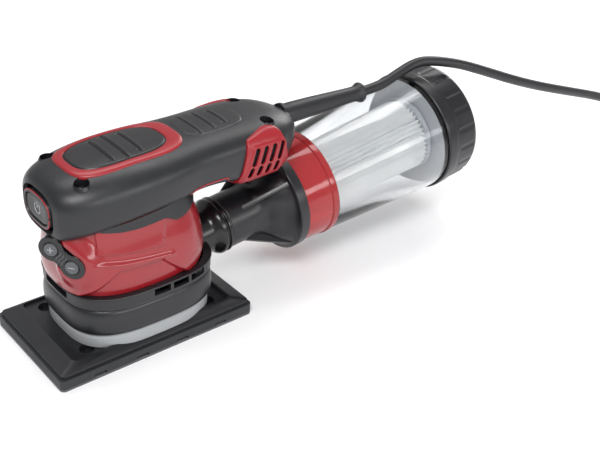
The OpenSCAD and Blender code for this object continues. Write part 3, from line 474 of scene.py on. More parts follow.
def swept(path, radius, sides=8, closed=False):
    """Grid of a round tube: a circle carried along the path, square to it, with its first side level."""
    path = np.asarray(path, float)
    step = (np.roll(path, -1, 0) - np.roll(path, 1, 0)) if closed else np.gradient(path, axis=0)
    along = unit(step)
    side = np.cross([0.0, 0.0, 1.0], along)
    short = np.linalg.norm(side, axis=1, keepdims=True) < 1e-6
    side = unit(np.where(short, [1.0, 0.0, 0.0], side))
    up = np.cross(along, side)
    t = circle(sides)
    return path[:, None] + radius * (np.cos(t)[:, None] * side[:, None] + np.sin(t)[:, None] * up[:, None])


def capped(grid):
    """Closes both ends of a tube grid at their middles."""
    ends = [np.repeat(grid[k].mean(0)[None, None], grid.shape[1], 1) for k in (0, -1)]
    return np.concatenate([ends[0], grid, ends[1]])


def stroke(name, points, radius, node, finish=None):
    """A fine raised line, added to what its CAD node shows."""
    surface(name, capped(swept(points, radius)), node, finish, wrap=(False, True), keep=True)


def turned(profile, origin, axis, steps, shape=None, side=(0.0, 1.0, 0.0)):
    """Grid of a turned part: a closed profile of [radius, station] carried round the axis, from side on.
    shape(radius, station, angle) may change the radius with the angle."""
    profile = np.asarray(profile, float)
    a = circle(steps)[:, None]
    r, s = profile[None, :, 0] + 0 * a, profile[None, :, 1] + 0 * a
    if shape is not None:
        r = shape(r, s, a + 0 * r)
    axis, side = np.array(axis), np.array(side)
    up = np.cross(axis, side)
    return origin + s[..., None] * axis + r[..., None] * (np.cos(a)[..., None] * side + np.sin(a)[..., None] * up)


def filleted(points, radii, steps=5):
    """A polyline with each corner replaced by a quadratic arc that starts and ends a radius from it."""
    points = np.asarray(points, float)
    radii = np.broadcast_to(np.asarray(radii, float), len(points))
    out = []
    t = np.linspace(0, 1, steps)[:, None]
    for k, (here, r) in enumerate(zip(points, radii)):
        before, after = points[k - 1], points[(k + 1) % len(points)]
        if r <= 0:
            out.append(here[None])
            continue
        a = here + (before - here) * min(0.48, r / np.linalg.norm(before - here))
        b = here + (after - here) * min(0.48, r / np.linalg.norm(after - here))
        out.append((1 - t) ** 2 * a + 2 * t * (1 - t) * here + t ** 2 * b)
    return np.concatenate(out)


def smooth_step(low, high, value):
    t = np.clip((value - low) / (high - low), 0, 1)
    return t * t * (3 - 2 * t)


def signed_power(v, p):
    return np.sign(v) * np.abs(v) ** p


def hermite(u, a, b, slope_a, slope_b):
    """Smooth cubic from a to b, at share u of the way, with the slopes given at its ends."""
    return ((2 * u ** 3 - 3 * u ** 2 + 1) * a + (u ** 3 - 2 * u ** 2 + u) * slope_a
            + (3 * u ** 2 - 2 * u ** 3) * b + (u ** 3 - u ** 2) * slope_b)


def rows_at(table, x):
    """Every column of a table at stations x, on the same smooth cubic through the rows as the shells."""
    table = np.asarray(table, float)
    x = np.asarray(x, float)
    i = np.clip(np.searchsorted(table[:, 0], x, side="left") - 1, 0, len(table) - 2)
    k = np.arange(len(table))
    before, after = np.maximum(k - 1, 0), np.minimum(k + 1, len(table) - 1)
    slope = (table[after] - table[before]) / (table[after, :1] - table[before, :1])
    d = (table[i + 1, 0] - table[i, 0])[..., None]
    u = ((x - table[i, 0])[..., None]) / d
    return hermite(u, table[i], table[i + 1], slope[i] * d, slope[i + 1] * d)


# ---------- mains lead ----------

LEAD_D = 7.0
LEAD_ROUTE = [
    [184, 0, 109.8], [192, 0, 110], [205, 0, 111.4], [219, 1, 114.8], [232, 1.5, 118],
    [242, 0, 119.6], [251, -4.5, 119.6], [260, -9.5, 118.4], [270, -14, 116], [283, -18, 111.4],
    [298, -21, 105.6], [315, -23.5, 99], [334, -25.5, 92], [354, -27, 85.2], [375, -28, 78.4],
    [398, -28.5, 71], [422, -28, 63], [446, -26.5, 54], [470, -23.5, 43.6], [492, -19, 32.6],
    [512, -12.5, 21.6], [530, -4.5, 12.4], [546, 5, 6.2], [560, 14, 3.8], [574, 22, 3.5],
    [590, 28.4, 3.5], [604, 31, 3.5],
]
TAIL_ROUTE = [
    [606, -67, 3.5], [596, -67, 3.5], [586, -67.4, 4.6], [578, -68, 6.6], [572, -68, 8],
    [566, -68, 8.5], [558, -68, 8.5],
]
COIL_POS = (606.0, -18.0)
COIL_MID_R, COIL_MID_COLUMN = 38.5, 1.5
STEPS_A_TURN = 48
# where each turn of the coil lies after its step: [column from the inside, layer]
COIL_TURNS = [
    [2, 0], [1, 0], [0, 0], [0, 1], [1, 1], [2, 1], [2, 2], [1, 2], [1, 3], [2, 3], [3, 3], [3, 2], [3, 1], [3, 0],
]


def through(route, steps):
    """Smooth cubic through the route's points, with slopes from their neighbours."""
    p = np.asarray(route, float)
    slope = np.gradient(p, axis=0)
    slope[0], slope[-1] = (p[1] - p[0]) / 2, (p[-1] - p[-2]) / 2
    u = (np.arange(steps) / steps)[None, :, None]
    line = hermite(u, p[:-1, None], p[1:, None], slope[:-1, None], slope[1:, None])
    return np.concatenate([line.reshape(-1, 3), p[-1:]])


def coil_line():
    """The coil's turns, clockwise from above: each turn steps sideways first and up or down after that,
    so that a turn has left its place before the next one takes it."""
    start = math.atan2(LEAD_ROUTE[-1][1] - COIL_POS[1], LEAD_ROUTE[-1][0] - COIL_POS[0])
    turns = len(COIL_TURNS) - 1 + (start + math.pi / 2) / (2 * math.pi)
    t = np.linspace(0, turns, int(turns * STEPS_A_TURN))
    place = np.array([[3, 0]] + COIL_TURNS, float)
    change = np.diff(place, axis=0)
    k = np.arange(len(change))
    sideways = smooth_step(0.0, 0.14, t[:, None] - k)
    upright = smooth_step(0.2, 0.42, t[:, None] - k)
    column = place[0, 0] + (sideways * change[:, 0]).sum(1)
    layer = place[0, 1] + (upright * change[:, 1]).sum(1)
    radius = COIL_MID_R + (column - COIL_MID_COLUMN) * LEAD_D
    angle = start - 2 * np.pi * t
    height = LEAD_D / 2 + layer * LEAD_D
    return np.stack([COIL_POS[0] + radius * np.cos(angle), COIL_POS[1] + radius * np.sin(angle), height], -1)


def make_lead():
    """One length of lead: over the end cap, down to the floor, round the coil and into the plug."""
    line = np.concatenate([through(LEAD_ROUTE, 4)[:-1], coil_line(), through(TAIL_ROUTE, 4)[1:]])
    lead = surface("mains_lead", capped(swept(line, LEAD_D / 2, 12)), "cord", wrap=(False, True))
    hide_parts("cord", "cord_coil", "cord_tail")


# ---------- motor head and grip ----------

TOP = round(node_box("grip_left")[1][2] - 0.5, 1)
HEAD_R, GRIP_R = 34.0, 29.5
# station x, height underneath, height where it is widest, height on top, half width
HEAD_ROWS = [
    [-53, 84, 97, TOP - 13, 0.5 * HEAD_R], [-51.6, 81.5, 97, TOP - 10.5, 0.6 * HEAD_R],
    [-49, 80.6, 97.5, TOP - 8.4, 0.69 * HEAD_R], [-44, 80.8, 98, TOP - 6.3, 0.79 * HEAD_R],
    [-36, 82, 98.5, TOP - 4.2, 0.885 * HEAD_R], [-22, 84, 99.5, TOP - 2, 0.965 * HEAD_R],
    [-6, 86, 101, TOP - 0.8, HEAD_R], [10, 87.5, 102, TOP - 0.4, 0.985 * HEAD_R],
    [24, 88.5, 103, TOP - 0.3, 0.94 * HEAD_R], [36, 88.8, 104, TOP - 0.2, 0.5 * (GRIP_R + 0.9 * HEAD_R)],
    [48, 88.4, 104.4, TOP, GRIP_R], [58, 87, 104.8, TOP + 0.3, GRIP_R], [66, 84.8, 105, TOP + 0.5, GRIP_R],
    [80, 83.6, 105.5, TOP + 0.3, GRIP_R], [92, 84.6, 105.5, TOP - 0.4, GRIP_R - 0.5],
    [99, 87.6, 106, TOP - 1.2, GRIP_R - 2.5], [105, 91, 106.4, TOP - 2.6, GRIP_R - 6],
    [111, 95.6, 107, TOP - 4.8, GRIP_R - 10.5], [114, 98.4, 107.4, TOP - 6.4, GRIP_R - 14],
]
# height, front end, rear end, half width
BODY_ROWS = [
    [46, -47, 42.5, 37.3], [52, -47.8, 44.5, 38], [60, -47.5, 44, 37.2], [68, -47, 42, 35.3],
    [75, -46.5, 39.5, 33], [81, -46, 36, 31.4], [86, -45, 33, 30],
]
NOSE_X, TAIL_X = -53.0, 114.0
TOP_POWER, UNDER_POWER, BODY_POWER = 2.7, 3.4, 2.7
JOINT_Z, JOINT_SLOPE, NECK_GAP = 85.5, 0.085, 0.4
WALL = 2.4
GLAND_Z, GLAND_R, TAIL_BULGE = 109.8, 6.2, 1.6
SCREW_HEAD_R, SCREW_WELL_R, SCREW_WELL_DEPTH = 3.6, 4.3, 4.0


def neck_open(x):
    """Half width of the opening in the head's underside at station x, where the red housing enters."""
    _, front, rear, half = rows_at(BODY_ROWS, JOINT_Z)
    u = np.abs((2 * x - front - rear) / (rear - front + 2 * NECK_GAP))
    return (half + NECK_GAP) * np.clip(1 - u ** BODY_POWER, 0, 1) ** (1 / BODY_POWER)


def head_start(x):
    """Angle at which the head's skin starts, in degrees: -90 is underneath."""
    width = rows_at(HEAD_ROWS, x)[..., 4]
    return -np.degrees(np.arccos(np.minimum(1, neck_open(x) / width) ** (UNDER_POWER / 2)))


def head_skin(x, a, side, grow=0.0):
    """Point of the head and grip at station x and angle a in degrees: two half superellipses, one above
    the widest height and one below it, whose sizes follow the rows."""
    _, zb, zw, zt, w = np.moveaxis(rows_at(HEAD_ROWS, x), -1, 0)
    a = np.radians(a)
    c, s = np.abs(np.cos(a)), np.abs(np.sin(a))
    above = a > 0
    n = np.where(above, TOP_POWER, UNDER_POWER)
    y = (w + grow) * c ** (2 / n)
    z = zw + np.where(above, zt + grow - zw, zb - grow - zw) * s ** (2 / n)
    return np.stack([x + 0 * y, side * y, z], -1)


def head_top(x, y):
    """Height of the top skin over the point x, y."""
    _, _, zw, zt, w = np.moveaxis(rows_at(HEAD_ROWS, x), -1, 0)
    return zw + (zt - zw) * np.clip(1 - np.abs(y / w) ** TOP_POWER, 0, 1) ** (1 / TOP_POWER)


def head_stations():
    """Stations along the head, closer together at the nose and where the neck's opening begins and ends."""
    _, front, rear, _ = rows_at(BODY_ROWS, JOINT_Z)
    front, rear = front - NECK_GAP, rear + NECK_GAP
    nose = NOSE_X + (front - NOSE_X) * np.linspace(0, 1, 14)[:-1] ** 1.6
    neck = (front + rear) / 2 - (rear - front) / 2 * np.cos(np.linspace(0, np.pi, 46))
    grip = rear + (TAIL_X - rear) * np.linspace(0, 1, 44)[1:]
    return np.concatenate([nose, neck, grip])


def make_grip_half(side, node):
    """Skin from the neck's edge over the top to the middle seam, closed at the tail round the gland."""
    x = head_stations()[:, None]
    share = np.linspace(0, 1, 52)[None]
    start = head_start(x)
    skin = head_skin(x, start + (90 - start) * share, side)
    last = skin[-1]
    angle = np.radians(-90 + 180 * share[0])
    hole = np.stack([0 * angle + TAIL_X, side * GLAND_R * np.cos(angle), GLAND_Z + GLAND_R * np.sin(angle)], -1)
    t = np.linspace(0, 1, 8)[1:, None, None]
    bow = np.array([1.0, 0, 0]) * TAIL_BULGE * np.sin(np.pi * t / 2)
    tail = last * (1 - t) + hole * t + bow
    return surface(node + "_shell", np.concatenate([skin, tail]), node, thick=WALL)


def disc_cutter(x, y, z, radius, length):
    t = circle(28)
    ring = np.stack([x + radius * np.cos(t), y + radius * np.sin(t), z + 0 * t], -1)
    return prism(ring, (0, 0, 1), 0, length)


def make_grips():
    """Both halves of the skin, with wells over the screws, and the cups that the screws sit in."""
    screws = {}
    for node in ("head_screws", "tail_screws"):
        low, high = node_box(node)
        screws[node] = (low[0] + high[0]) / 2, high[1] - SCREW_HEAD_R, high[2]
    for side, node in ((-1, "grip_left"), (1, "grip_right")):
        shell = make_grip_half(side, node)
        drill(shell, [disc_cutter(x, side * y, head - SCREW_WELL_DEPTH, SCREW_WELL_R, 20)
                      for x, y, head in screws.values()])
    for node, (x, y, head) in screws.items():
        rim = float(head_top(np.array(x), np.array(y)))
        profile = filleted(
            [[5.4, rim - 2.4], [4.3, rim - 0.1], [4.1, head - 3], [0.01, head - 3.2], [0.01, head - 4.4],
             [5.2, head - 4.4]], [0.4, 0.5, 0.3, 0, 0, 0.3])
        for side, tag in ((-1, "near"), (1, "far")):
            cup = turned(profile, (x, side * y, 0.0), (0.0, 0.0, 1.0), 40, side=(1.0, 0.0, 0.0))
            surface(f"{node}_cup_{tag}", cup, node, "black_satin", "housing", (True, True), keep=True)


# ---------- trim on the head ----------

# ovals on the top skin: middle, half length, half width, power
RING_OUTER = (-2.3, 36.0, 21.3, 3.6)
RING_INNER = (-4.2, 29.3, 17.0, 3.0)
REAR_PANEL = (57.0, 21.0, 15.5, 3.4)


def oval(shape, t):
    cx, rx, ry, n = shape
    return np.stack([cx + rx * signed_power(np.cos(t), 2 / n), ry * signed_power(np.sin(t), 2 / n)], -1)


def make_trim_ring():
    """Band between two superellipses on the top skin, with a rounded crown."""
    t = circle(220)[:, None]
    share = np.array([0, 0, 0.06, 0.2, 0.4, 0.6, 0.8, 0.94, 1, 1])[None]
    height = np.array([-0.9, 0.3, 0.75, 0.98, 1.05, 1.05, 0.98, 0.75, 0.2, -0.9])[None]
    xy = oval(RING_INNER, t) * (1 - share[..., None]) + oval(RING_OUTER, t) * share[..., None]
    z = head_top(xy[..., 0], xy[..., 1]) + height
    surface("trim_band", np.concatenate([xy, z[..., None]], -1), "trim_ring", wrap=(True, True))


def make_inlay(name, node, shape, rise, grooves, depth):
    """Soft insert on the top skin: a crowned oval with grooves across it and a small notch at each end."""
    cx, rx, ry, n = shape
    u = np.sin(np.linspace(-np.pi / 2, np.pi / 2, 190))[:, None]
    v = np.linspace(-1, 1, 61)[None]
    half = ry * np.clip(1 - np.abs(u) ** n, 0, 1) ** (1 / n)
    x, y = cx + rx * u + 0 * v, half * v
    q = (np.abs((x - cx) / rx) ** n + np.abs(y / ry) ** n) ** (1 / n)
    z = head_top(x, y) + rise * (1 - smooth_step(0.93, 1.0, q) ** 2 * 1.5) + 0.25 * (1 - q ** 2)
    for gx, reach in grooves:
        inside = smooth_step(reach + 0.7, reach - 0.3, np.abs(y))
        line = np.exp(-((x - gx) / 0.75) ** 2)
        lip = np.exp(-((x - gx - 1.5) / 0.8) ** 2)
        notch = np.exp(-((x - gx) / 1.3) ** 2 - ((np.abs(y) - reach + 0.4) / 1.1) ** 2)
        z = z + inside * (0.28 * lip - depth * line) - 0.7 * depth * notch
    z = np.where(q > 0.999, head_top(x, y) - 0.9, z)
    surface(name, np.stack([x, y, z], -1), node, thick=0.6)


def make_head_piping():
    """A thin red line low on each side of the grip."""
    for side, tag in ((-1, "near"), (1, "far")):
        gx = np.linspace(27, 55, 60)
        drop = 5.0 * (smooth_step(30.5, 27, gx) + smooth_step(53, 55.5, gx))
        angle = -19 - drop * 2.6
        stroke(f"grip_piping_{tag}", head_skin(gx, angle, side, 0.05), 0.5, "trim_ring")


# ---------- power button ----------

POWER_Z, MARK_R, MARK_LINE = 96.3, 3.1, 0.38


def nose_outline(grow, t):
    """Outline of the nose at its front end, grown by grow, as [y, z]."""
    _, zb, zw, zt, w = rows_at(HEAD_ROWS, NOSE_X)
    n = np.where(np.sin(t) > 0, TOP_POWER, UNDER_POWER)
    z = np.where(np.sin(t) > 0, zt + grow - zw, zw - zb + grow)
    return (w + grow) * signed_power(np.cos(t), 2 / n), zw + z * signed_power(np.sin(t), 2 / n)


def nose_plate(rows, steps=96):
    """Grid of rings on the nose: each row is [growth, x]."""
    t = circle(steps)
    rings = []
    for grow, x in rows:
        y, z = nose_outline(grow, t)
        rings.append(np.stack([0 * y + x, y, z], -1))
    return np.array(rings)


def make_power_button():
    rim = -WALL - 0.5
    bezel = nose_plate([
        [rim, NOSE_X + 4], [rim, NOSE_X - 0.5], [rim - 0.25, NOSE_X - 0.95], [rim - 0.8, NOSE_X - 1.1],
        [rim - 1.35, NOSE_X - 0.95], [rim - 1.6, NOSE_X - 0.5], [rim - 1.6, NOSE_X + 4]])
    surface("bezel_rim", bezel, "button_bezel", "dark_satin", wrap=(True, True))
    t = circle(120)
    y, z = nose_outline(rim - 0.15, t)
    line = np.stack([0 * t + NOSE_X - 0.55, y, z], -1)
    surface("bezel_line", swept(line, 0.42, closed=True), "button_bezel", wrap=(True, True), keep=True)
    face = rim - 1.6 - 0.4
    rows = [[face, NOSE_X + 5], [face, NOSE_X + 0.2], [face - 0.2, NOSE_X - 0.25], [face - 0.7, NOSE_X - 0.5]]
    centre = np.array([NOSE_X, 0.0, POWER_Z])
    grid = nose_plate(rows)
    edge = grid[-1]
    f = np.linspace(0, 1, 10)[1:, None, None]
    cap = edge * (1 - f) + centre * f
    cap[..., 0] = NOSE_X - 0.5 + 0.5 * f[..., 0] ** 2 * (2 - f[..., 0] ** 2)
    back = grid[:1] * 0.0 + np.array([NOSE_X + 5, 0.0, POWER_Z])
    surface("power_key", np.concatenate([back, grid, cap]), "power_button", wrap=(False, True))
    # the symbol: an open ring and a stroke
    t = np.linspace(math.radians(125), math.radians(415), 40)
    x = NOSE_X - 0.12
    ring = np.stack([0 * t + x, -MARK_R * np.cos(t), POWER_Z + MARK_R * np.sin(t)], -1)
    bar = np.stack([np.full(6, x), np.zeros(6), np.linspace(POWER_Z + 0.3, POWER_Z + 4.3, 6)], -1)
    stroke("power_mark_ring", ring, MARK_LINE, "power_button", "mark_grey")
    stroke("power_mark_stroke", bar, MARK_LINE, "power_button", "mark_grey")


# ---------- lower housing and keypad ----------

KEY_POS = np.array([-49.4, -17.0, 71.6])
KEY_AZIMUTH, KEY_TURN = math.radians(-145), math.radians(-37)
KEY_SPREAD, KEY_END_R, KEY_WAIST = 15.0, 6.8, 4.6
BELT_TOP, NECK_ENTER = 46.0, 6.0


def keypad_axes():
    """Directions of the keypad: along it towards the lower button, across it, and out of it."""
    turn = (Matrix.Rotation(KEY_AZIMUTH, 3, "Z") @ Matrix.Rotation(math.pi / 2, 3, "Y")
            @ Matrix.Rotation(math.pi / 2 + KEY_TURN, 3, "Z"))
    return np.array(turn).T


def at_keypad(points):
    return KEY_POS + np.asarray(points, float) @ keypad_axes()


def housing_skin(a, v, grow):
    """Point of the red housing at angle a in radians and share v of its height, grown outwards by grow."""
    rows = rows_at(BODY_ROWS, BODY_ROWS[0][0] + v * (JOINT_Z - BODY_ROWS[0][0]))
    front, rear, half = rows[..., 1] - grow, rows[..., 2] + grow, rows[..., 3] + grow
    x = (rear + front) / 2 + (rear - front) / 2 * signed_power(np.cos(a), 2 / BODY_POWER)
    y = half * signed_power(np.sin(a), 2 / BODY_POWER)
    z = BELT_TOP + 0.02 + v * (JOINT_Z + JOINT_SLOPE * x + NECK_ENTER - BELT_TOP)
    return np.stack([x, y, z], -1)


def housing_relief(x, y, z):
    """How far each point of the red housing stands out: a raised blank panel, a ledge under it, an arched
    hollow with flared feet under the ledge, and a swelling towards the rear."""
    side = smooth_step(20, 26, np.abs(y))
    foot = 74 - 0.079 * (x + 33.5)
    panel = smooth_step(-34.2, -32.8, x) * smooth_step(4.6, 3.2, x - 0.25 * (z - 71))
    panel = panel * smooth_step(-0.6, 0.6, z - foot)
    ledge_z = 68.3 - 0.093 * (x + 39.3)
    ledge = np.exp(-((z - ledge_z) / 1.5) ** 2) * smooth_step(-42, -38, x) * smooth_step(13, 8, x)
    spread = 1.15 * (62.5 - z)
    arch = (smooth_step(-25.5, -23, x + spread) * smooth_step(3.5, 1, x - spread) * smooth_step(63.4, 62.2, z))
    swell = np.exp(-((x - 26) / 11) ** 2) * np.exp(-((z - 66) / 16) ** 2)
    return side * (1.3 * panel + 1.0 * ledge - 2.2 * arch) + 1.5 * smooth_step(10, 22, np.abs(y)) * swell


def make_lower_housing():
    a = circle(420)[None]
    v = np.concatenate([np.linspace(0, 0.02, 4)[:-1], np.linspace(0.02, 1, 150)])[:, None]
    flat = housing_skin(a, v, 0 * a * v)
    grow = housing_relief(flat[..., 0], flat[..., 1], flat[..., 2])
    grow -= 0.7 * smooth_step(0.012, 0.0, v) ** 2
    skin = housing_skin(a, v, grow)
    # the shoulder round the keypad comes out to meet the keypad's rim
    local = (skin - KEY_POS) @ keypad_axes().T
    along = np.clip(local[..., 0], -KEY_SPREAD / 2, KEY_SPREAD / 2)
    reach = np.hypot(local[..., 0] - along, local[..., 1])
    pull = smooth_step(17.5, 8.6, reach) * smooth_step(-9, -5, local[..., 2])
    skin = skin + (pull * (-0.15 - local[..., 2]))[..., None] * keypad_axes()[2]
    shell = surface("red_housing", skin, "lower_housing", wrap=(False, True), thick=WALL)
    t = np.linspace(-np.pi / 2, np.pi / 2, 14)
    end = np.stack([KEY_SPREAD / 2 + (KEY_END_R + 0.3) * np.cos(t), (KEY_END_R + 0.3) * np.sin(t)], -1)
    outline = np.concatenate([end, -end])
    flat_outline = np.concatenate([outline, 0 * outline[:, :1]], 1)
    drill(shell, [prism(at_keypad(flat_outline), keypad_axes()[2], -9.5, 16)])


# lower edge of the collar: station x, height
NECK_BORDER = [
    [-60, 96], [-38, 90], [-30, 87], [-20, 85.4], [-10, 84.8], [0, 85.2], [5.5, 85.6], [8, 84.8], [10, 83.2],
    [12.2, 81.9], [16, 81.8], [24, 83.4], [30, 85.0], [40, 86.5],
]


def make_neck_collar():
    """Soft skin that comes down from the head over the housing's neck, as far as its border."""
    a = circle(360)[None]
    share = np.concatenate([[0, 0.006, 0.02, 0.05], np.linspace(0.1, 1, 20)])[:, None]
    x = housing_skin(a, 0.93 + 0 * a, 0 * a)[..., 0]
    table = np.array(NECK_BORDER, float)
    border = np.interp(x, table[:, 0], table[:, 1])
    low = np.minimum((border - BELT_TOP) / (JOINT_Z + JOINT_SLOPE * x + NECK_ENTER - BELT_TOP), 0.97)
    v = low + share * (1.0 - low)
    grow = 1.25 * np.clip(share / 0.05, 0, 1) ** 0.5 + 0.45 + 0 * v
    skin = housing_skin(a, v, grow)
    surface("neck_collar", skin, "grip_left", "soft_grip", "housing", (False, True), 0.4, keep=True)


def make_keypad():
    rounded_copy("keypad_frame", 0.35)
    for node in ("speed_up_button", "speed_down_button"):
        rounded_copy(node, 0.5)
    lift, arm = 1.4, 1.9
    line = np.linspace(-arm, arm, 6)
    up, down = -KEY_SPREAD / 2, KEY_SPREAD / 2
    # level on the tilted pad: the marks are turned back by the pad's own turn
    level = np.array([math.cos(-KEY_TURN), math.sin(-KEY_TURN)])
    plumb = np.array([-level[1], level[0]])
    for tag, centre, node, ways in (("plus", up, "speed_up_button", (level, plumb)),
                                    ("minus", down, "speed_down_button", (level,))):
        for k, way in enumerate(ways):
            flat = np.array([centre, 0.0]) + line[:, None] * way
            points = at_keypad(np.concatenate([flat, np.full((6, 1), lift)], 1))
            stroke(f"{tag}_mark_{k}", points, 0.32, node, "mark_grey")
    for k, u in enumerate((-2.0, 0.0, 2.0)):
        v = np.linspace(-3.4, 3.4, 24)
        wave = u + 0.22 * np.sin(v * 1.3)
        points = at_keypad(np.stack([wave, v, np.full_like(v, 0.62)], -1))
        stroke(f"keypad_wave_{k}", points, 0.3, "keypad_frame", "key_grey")


# ---------- skirt, belt and pad ----------

# outline of the skirt: middle, half length, half width, power
SKIRT = (1.5, 48.5, 39.0, 3.0)


def skirt_sweep(profile):
    """Grid of a wall carried round the skirt's outline, from a closed profile of [growth, height]."""
    t = circle(260)
    profile = np.asarray(profile, float)
    cx, rx, ry, n = SKIRT
    c, s = signed_power(np.cos(t), 2 / n)[:, None], signed_power(np.sin(t), 2 / n)[:, None]
    x, y = cx + (rx + profile[None, :, 0]) * c, (ry + profile[None, :, 0]) * s
    return np.stack([x, y, profile[None, :, 1] + 0 * x], -1)


def make_skirt():
    seal = filleted(
        [[-4.8, 11.22], [-2.2, 11.22], [-2.2, 18.4], [-3.2, 19.8], [-4.8, 19.8]], [0, 0.5, 1.2, 0.6, 0], 6)
    surface("light_seal", skirt_sweep(seal), "seal_ring", wrap=(True, True))
    skirt = filleted(
        [[-3.5, 20.4], [-1.5, 20.4], [-0.3, 22.6], [0, 26.4], [-0.2, 31.4], [-1.2, 35.6], [-2.6, 37.4], [-2.6, 38.5],
         [-5.1, 38.5], [-5.0, 32.4]], [0.4, 0.9, 1.8, 3, 3, 2, 0.7, 0.3, 0, 1], 6)
    surface("soft_skirt", skirt_sweep(skirt), "rubber_skirt", wrap=(True, True))
    rounded_copy("vent_belt", 0.35)
    rounded_copy("pad_plate", 0.45)
    lip = filleted(
        [[-3.2, 45.2], [-0.4, 45.2], [-0.1, 45.7], [-0.4, 46.3], [-3.2, 46.3]], [0, 0.2, 0.2, 0.2, 0], 4)
    surface("belt_lip", skirt_sweep(lip), "vent_belt", "black_satin", wrap=(True, True), keep=True)


# ---------- vent covers ----------

# outline seen from the side, [x, z], and the radius of each corner
COVER_OUTLINE = [
    [61.6, 86.5], [64, 84.0], [96.9, 86.2], [100.6, 89.3], [100, 97.7], [96.3, 106.9], [92.4, 117.9],
    [82.5, 119.1], [70.7, 116.4], [67.1, 115.4], [64, 101.2],
]
COVER_CORNERS = [2.5, 2.5, 3, 3, 6, 8, 3.5, 5, 3, 3, 8]
COVER_MIDDLE, COVER_LIFT = (81.5, 101.0), 1.35
SLOT_X, SLOT_PITCH, SLOT_R, SLOT_LEAN, LEAN_Z = 70.4, 6.4, 1.8, 0.30, 100
SLOT_SPANS = (101.0, 109.0), (93.6, 97.0)


def head_side(x, z, grow):
    """Half width of the head's skin at station x and height z."""
    _, zb, zw, zt, w = np.moveaxis(rows_at(HEAD_ROWS, x), -1, 0)
    above = z > zw
    n = np.where(above, TOP_POWER, UNDER_POWER)
    share = np.where(above, (z - zw) / (zt + grow - zw), (zw - z) / (zw - zb + grow))
    return (w + grow) * np.clip(1 - np.clip(share, 0, 1) ** n, 0, 1) ** (1 / n)


def make_vent_covers():
    """Red plates on both sides of the grip: an outline drawn in from its edge to its middle, lying on the
    skin, with a raised panel that leans with the slots."""
    edge = filleted(COVER_OUTLINE, COVER_CORNERS, 9)
    middle = np.array(COVER_MIDDLE)
    share = np.concatenate([[1, 1, 0.995, 0.985, 0.965, 0.94], np.linspace(0.9, 0, 60)])
    lift = np.concatenate([[-0.4, 0.5, 0.95, 1.2, 1.32, COVER_LIFT], np.full(60, COVER_LIFT)])
    flat = middle + (edge - middle)[None] * share[:, None, None]
    x, z = flat[..., 0], flat[..., 1]
    lean = x - SLOT_LEAN * (z - LEAN_Z)
    panel = (smooth_step(66.2, 67.6, lean) * smooth_step(95.2, 93.8, lean)
             * smooth_step(87.2, 88.4, z) * smooth_step(112.6, 111.4, z))
    for side, node in ((-1, "vent_cover_left"), (1, "vent_cover_right")):
        rise = lift[:, None] + 0.7 * panel
        y = side * head_side(x, z, rise)
        cover = surface(node + "_plate", np.stack([x, y, z], -1), node, wrap=(False, True), thick=1.0)
        cutters = []
        for k in range(4):
            for z0, z1 in SLOT_SPANS:
                low = np.array([SLOT_X + SLOT_PITCH * k + SLOT_LEAN * (z0 - LEAN_Z), z0])
                high = low + np.array([SLOT_LEAN, 1.0]) * (z1 - z0)
                t = np.linspace(0, np.pi, 8)
                arc = SLOT_R * np.stack([np.cos(t), np.sin(t)], -1)
                ring = np.concatenate([high + arc, low - arc])
                ring = np.stack([ring[:, 0], np.full(len(ring), side * 12.0), ring[:, 1]], -1)
                cutters.append(prism(ring, (0, side, 0), 0, 30))
        drill(cover, cutters)


# ---------- dust duct and canister ----------

TILT = math.radians(7)
PORT = np.array([62.0, 0.0, 45.5])
AXIS = np.array([math.cos(TILT), 0.0, math.sin(TILT)])
FUNNEL_S, COLLAR_S, TUBE_S, CAP_S = 6.0, 53.4, 77.6, 174.1
CAN_FRONT, CAN_REAR = 34.5, 41.9
CAP_R = 43.4
SCALLOPS, SCALLOP_R, SCALLOP_OUT, SCALLOP_FROM = 20, 5.6, 4.4, 11.3
# half thickness of a fin and the share of its outline there: its two faces are closed at their middles
FIN_LAYERS = (-1.6, 0), (-1.6, 0.96), (-1.3, 0.985), (1.3, 0.985), (1.6, 0.96), (1.6, 0)


def can_r(s):
    return CAN_FRONT + (CAN_REAR - CAN_FRONT) / (CAP_S - COLLAR_S) * (s - COLLAR_S)


def canister_part(name, profile, node, finish=None, radii=0.4, steps=192, shape=None, keep=False):
    """A turned part on the canister's axis, from its profile's corners."""
    line = filleted(profile, radii, 6)
    return surface(name, turned(line, PORT, AXIS, steps, shape), node, finish, wrap=(True, True), keep=keep)


def funnel_lobes(r, s, a):
    """The funnel's shoulder is pressed in between four broad lobes."""
    hollow = 0.5 + 0.5 * np.cos(4 * a)
    zone = smooth_step(FUNNEL_S + 14, FUNNEL_S + 27, s) * smooth_step(COLLAR_S - 6.2, COLLAR_S - 13, s)
    return r - 3.6 * zone * hollow ** 1.5 * smooth_step(17, 22, r)


def cap_scallops(r, s, a):
    """Twenty shallow round hollows along the cap's side."""
    pitch = 2 * np.pi / SCALLOPS
    off = (a + pitch / 2) % pitch - pitch / 2
    centre = CAP_R + SCALLOP_OUT
    inside = SCALLOP_R ** 2 - (centre * np.sin(off)) ** 2
    cut = centre * np.cos(off) - np.sqrt(np.maximum(inside, 0))
    cut = np.where(inside > 0, cut, 99)
    start = CAP_S + SCALLOP_FROM
    fade = smooth_step(start, start + 1.2, s)
    return np.where(r > 30, np.minimum(r, r + (np.minimum(r, cut) - r) * fade), r)


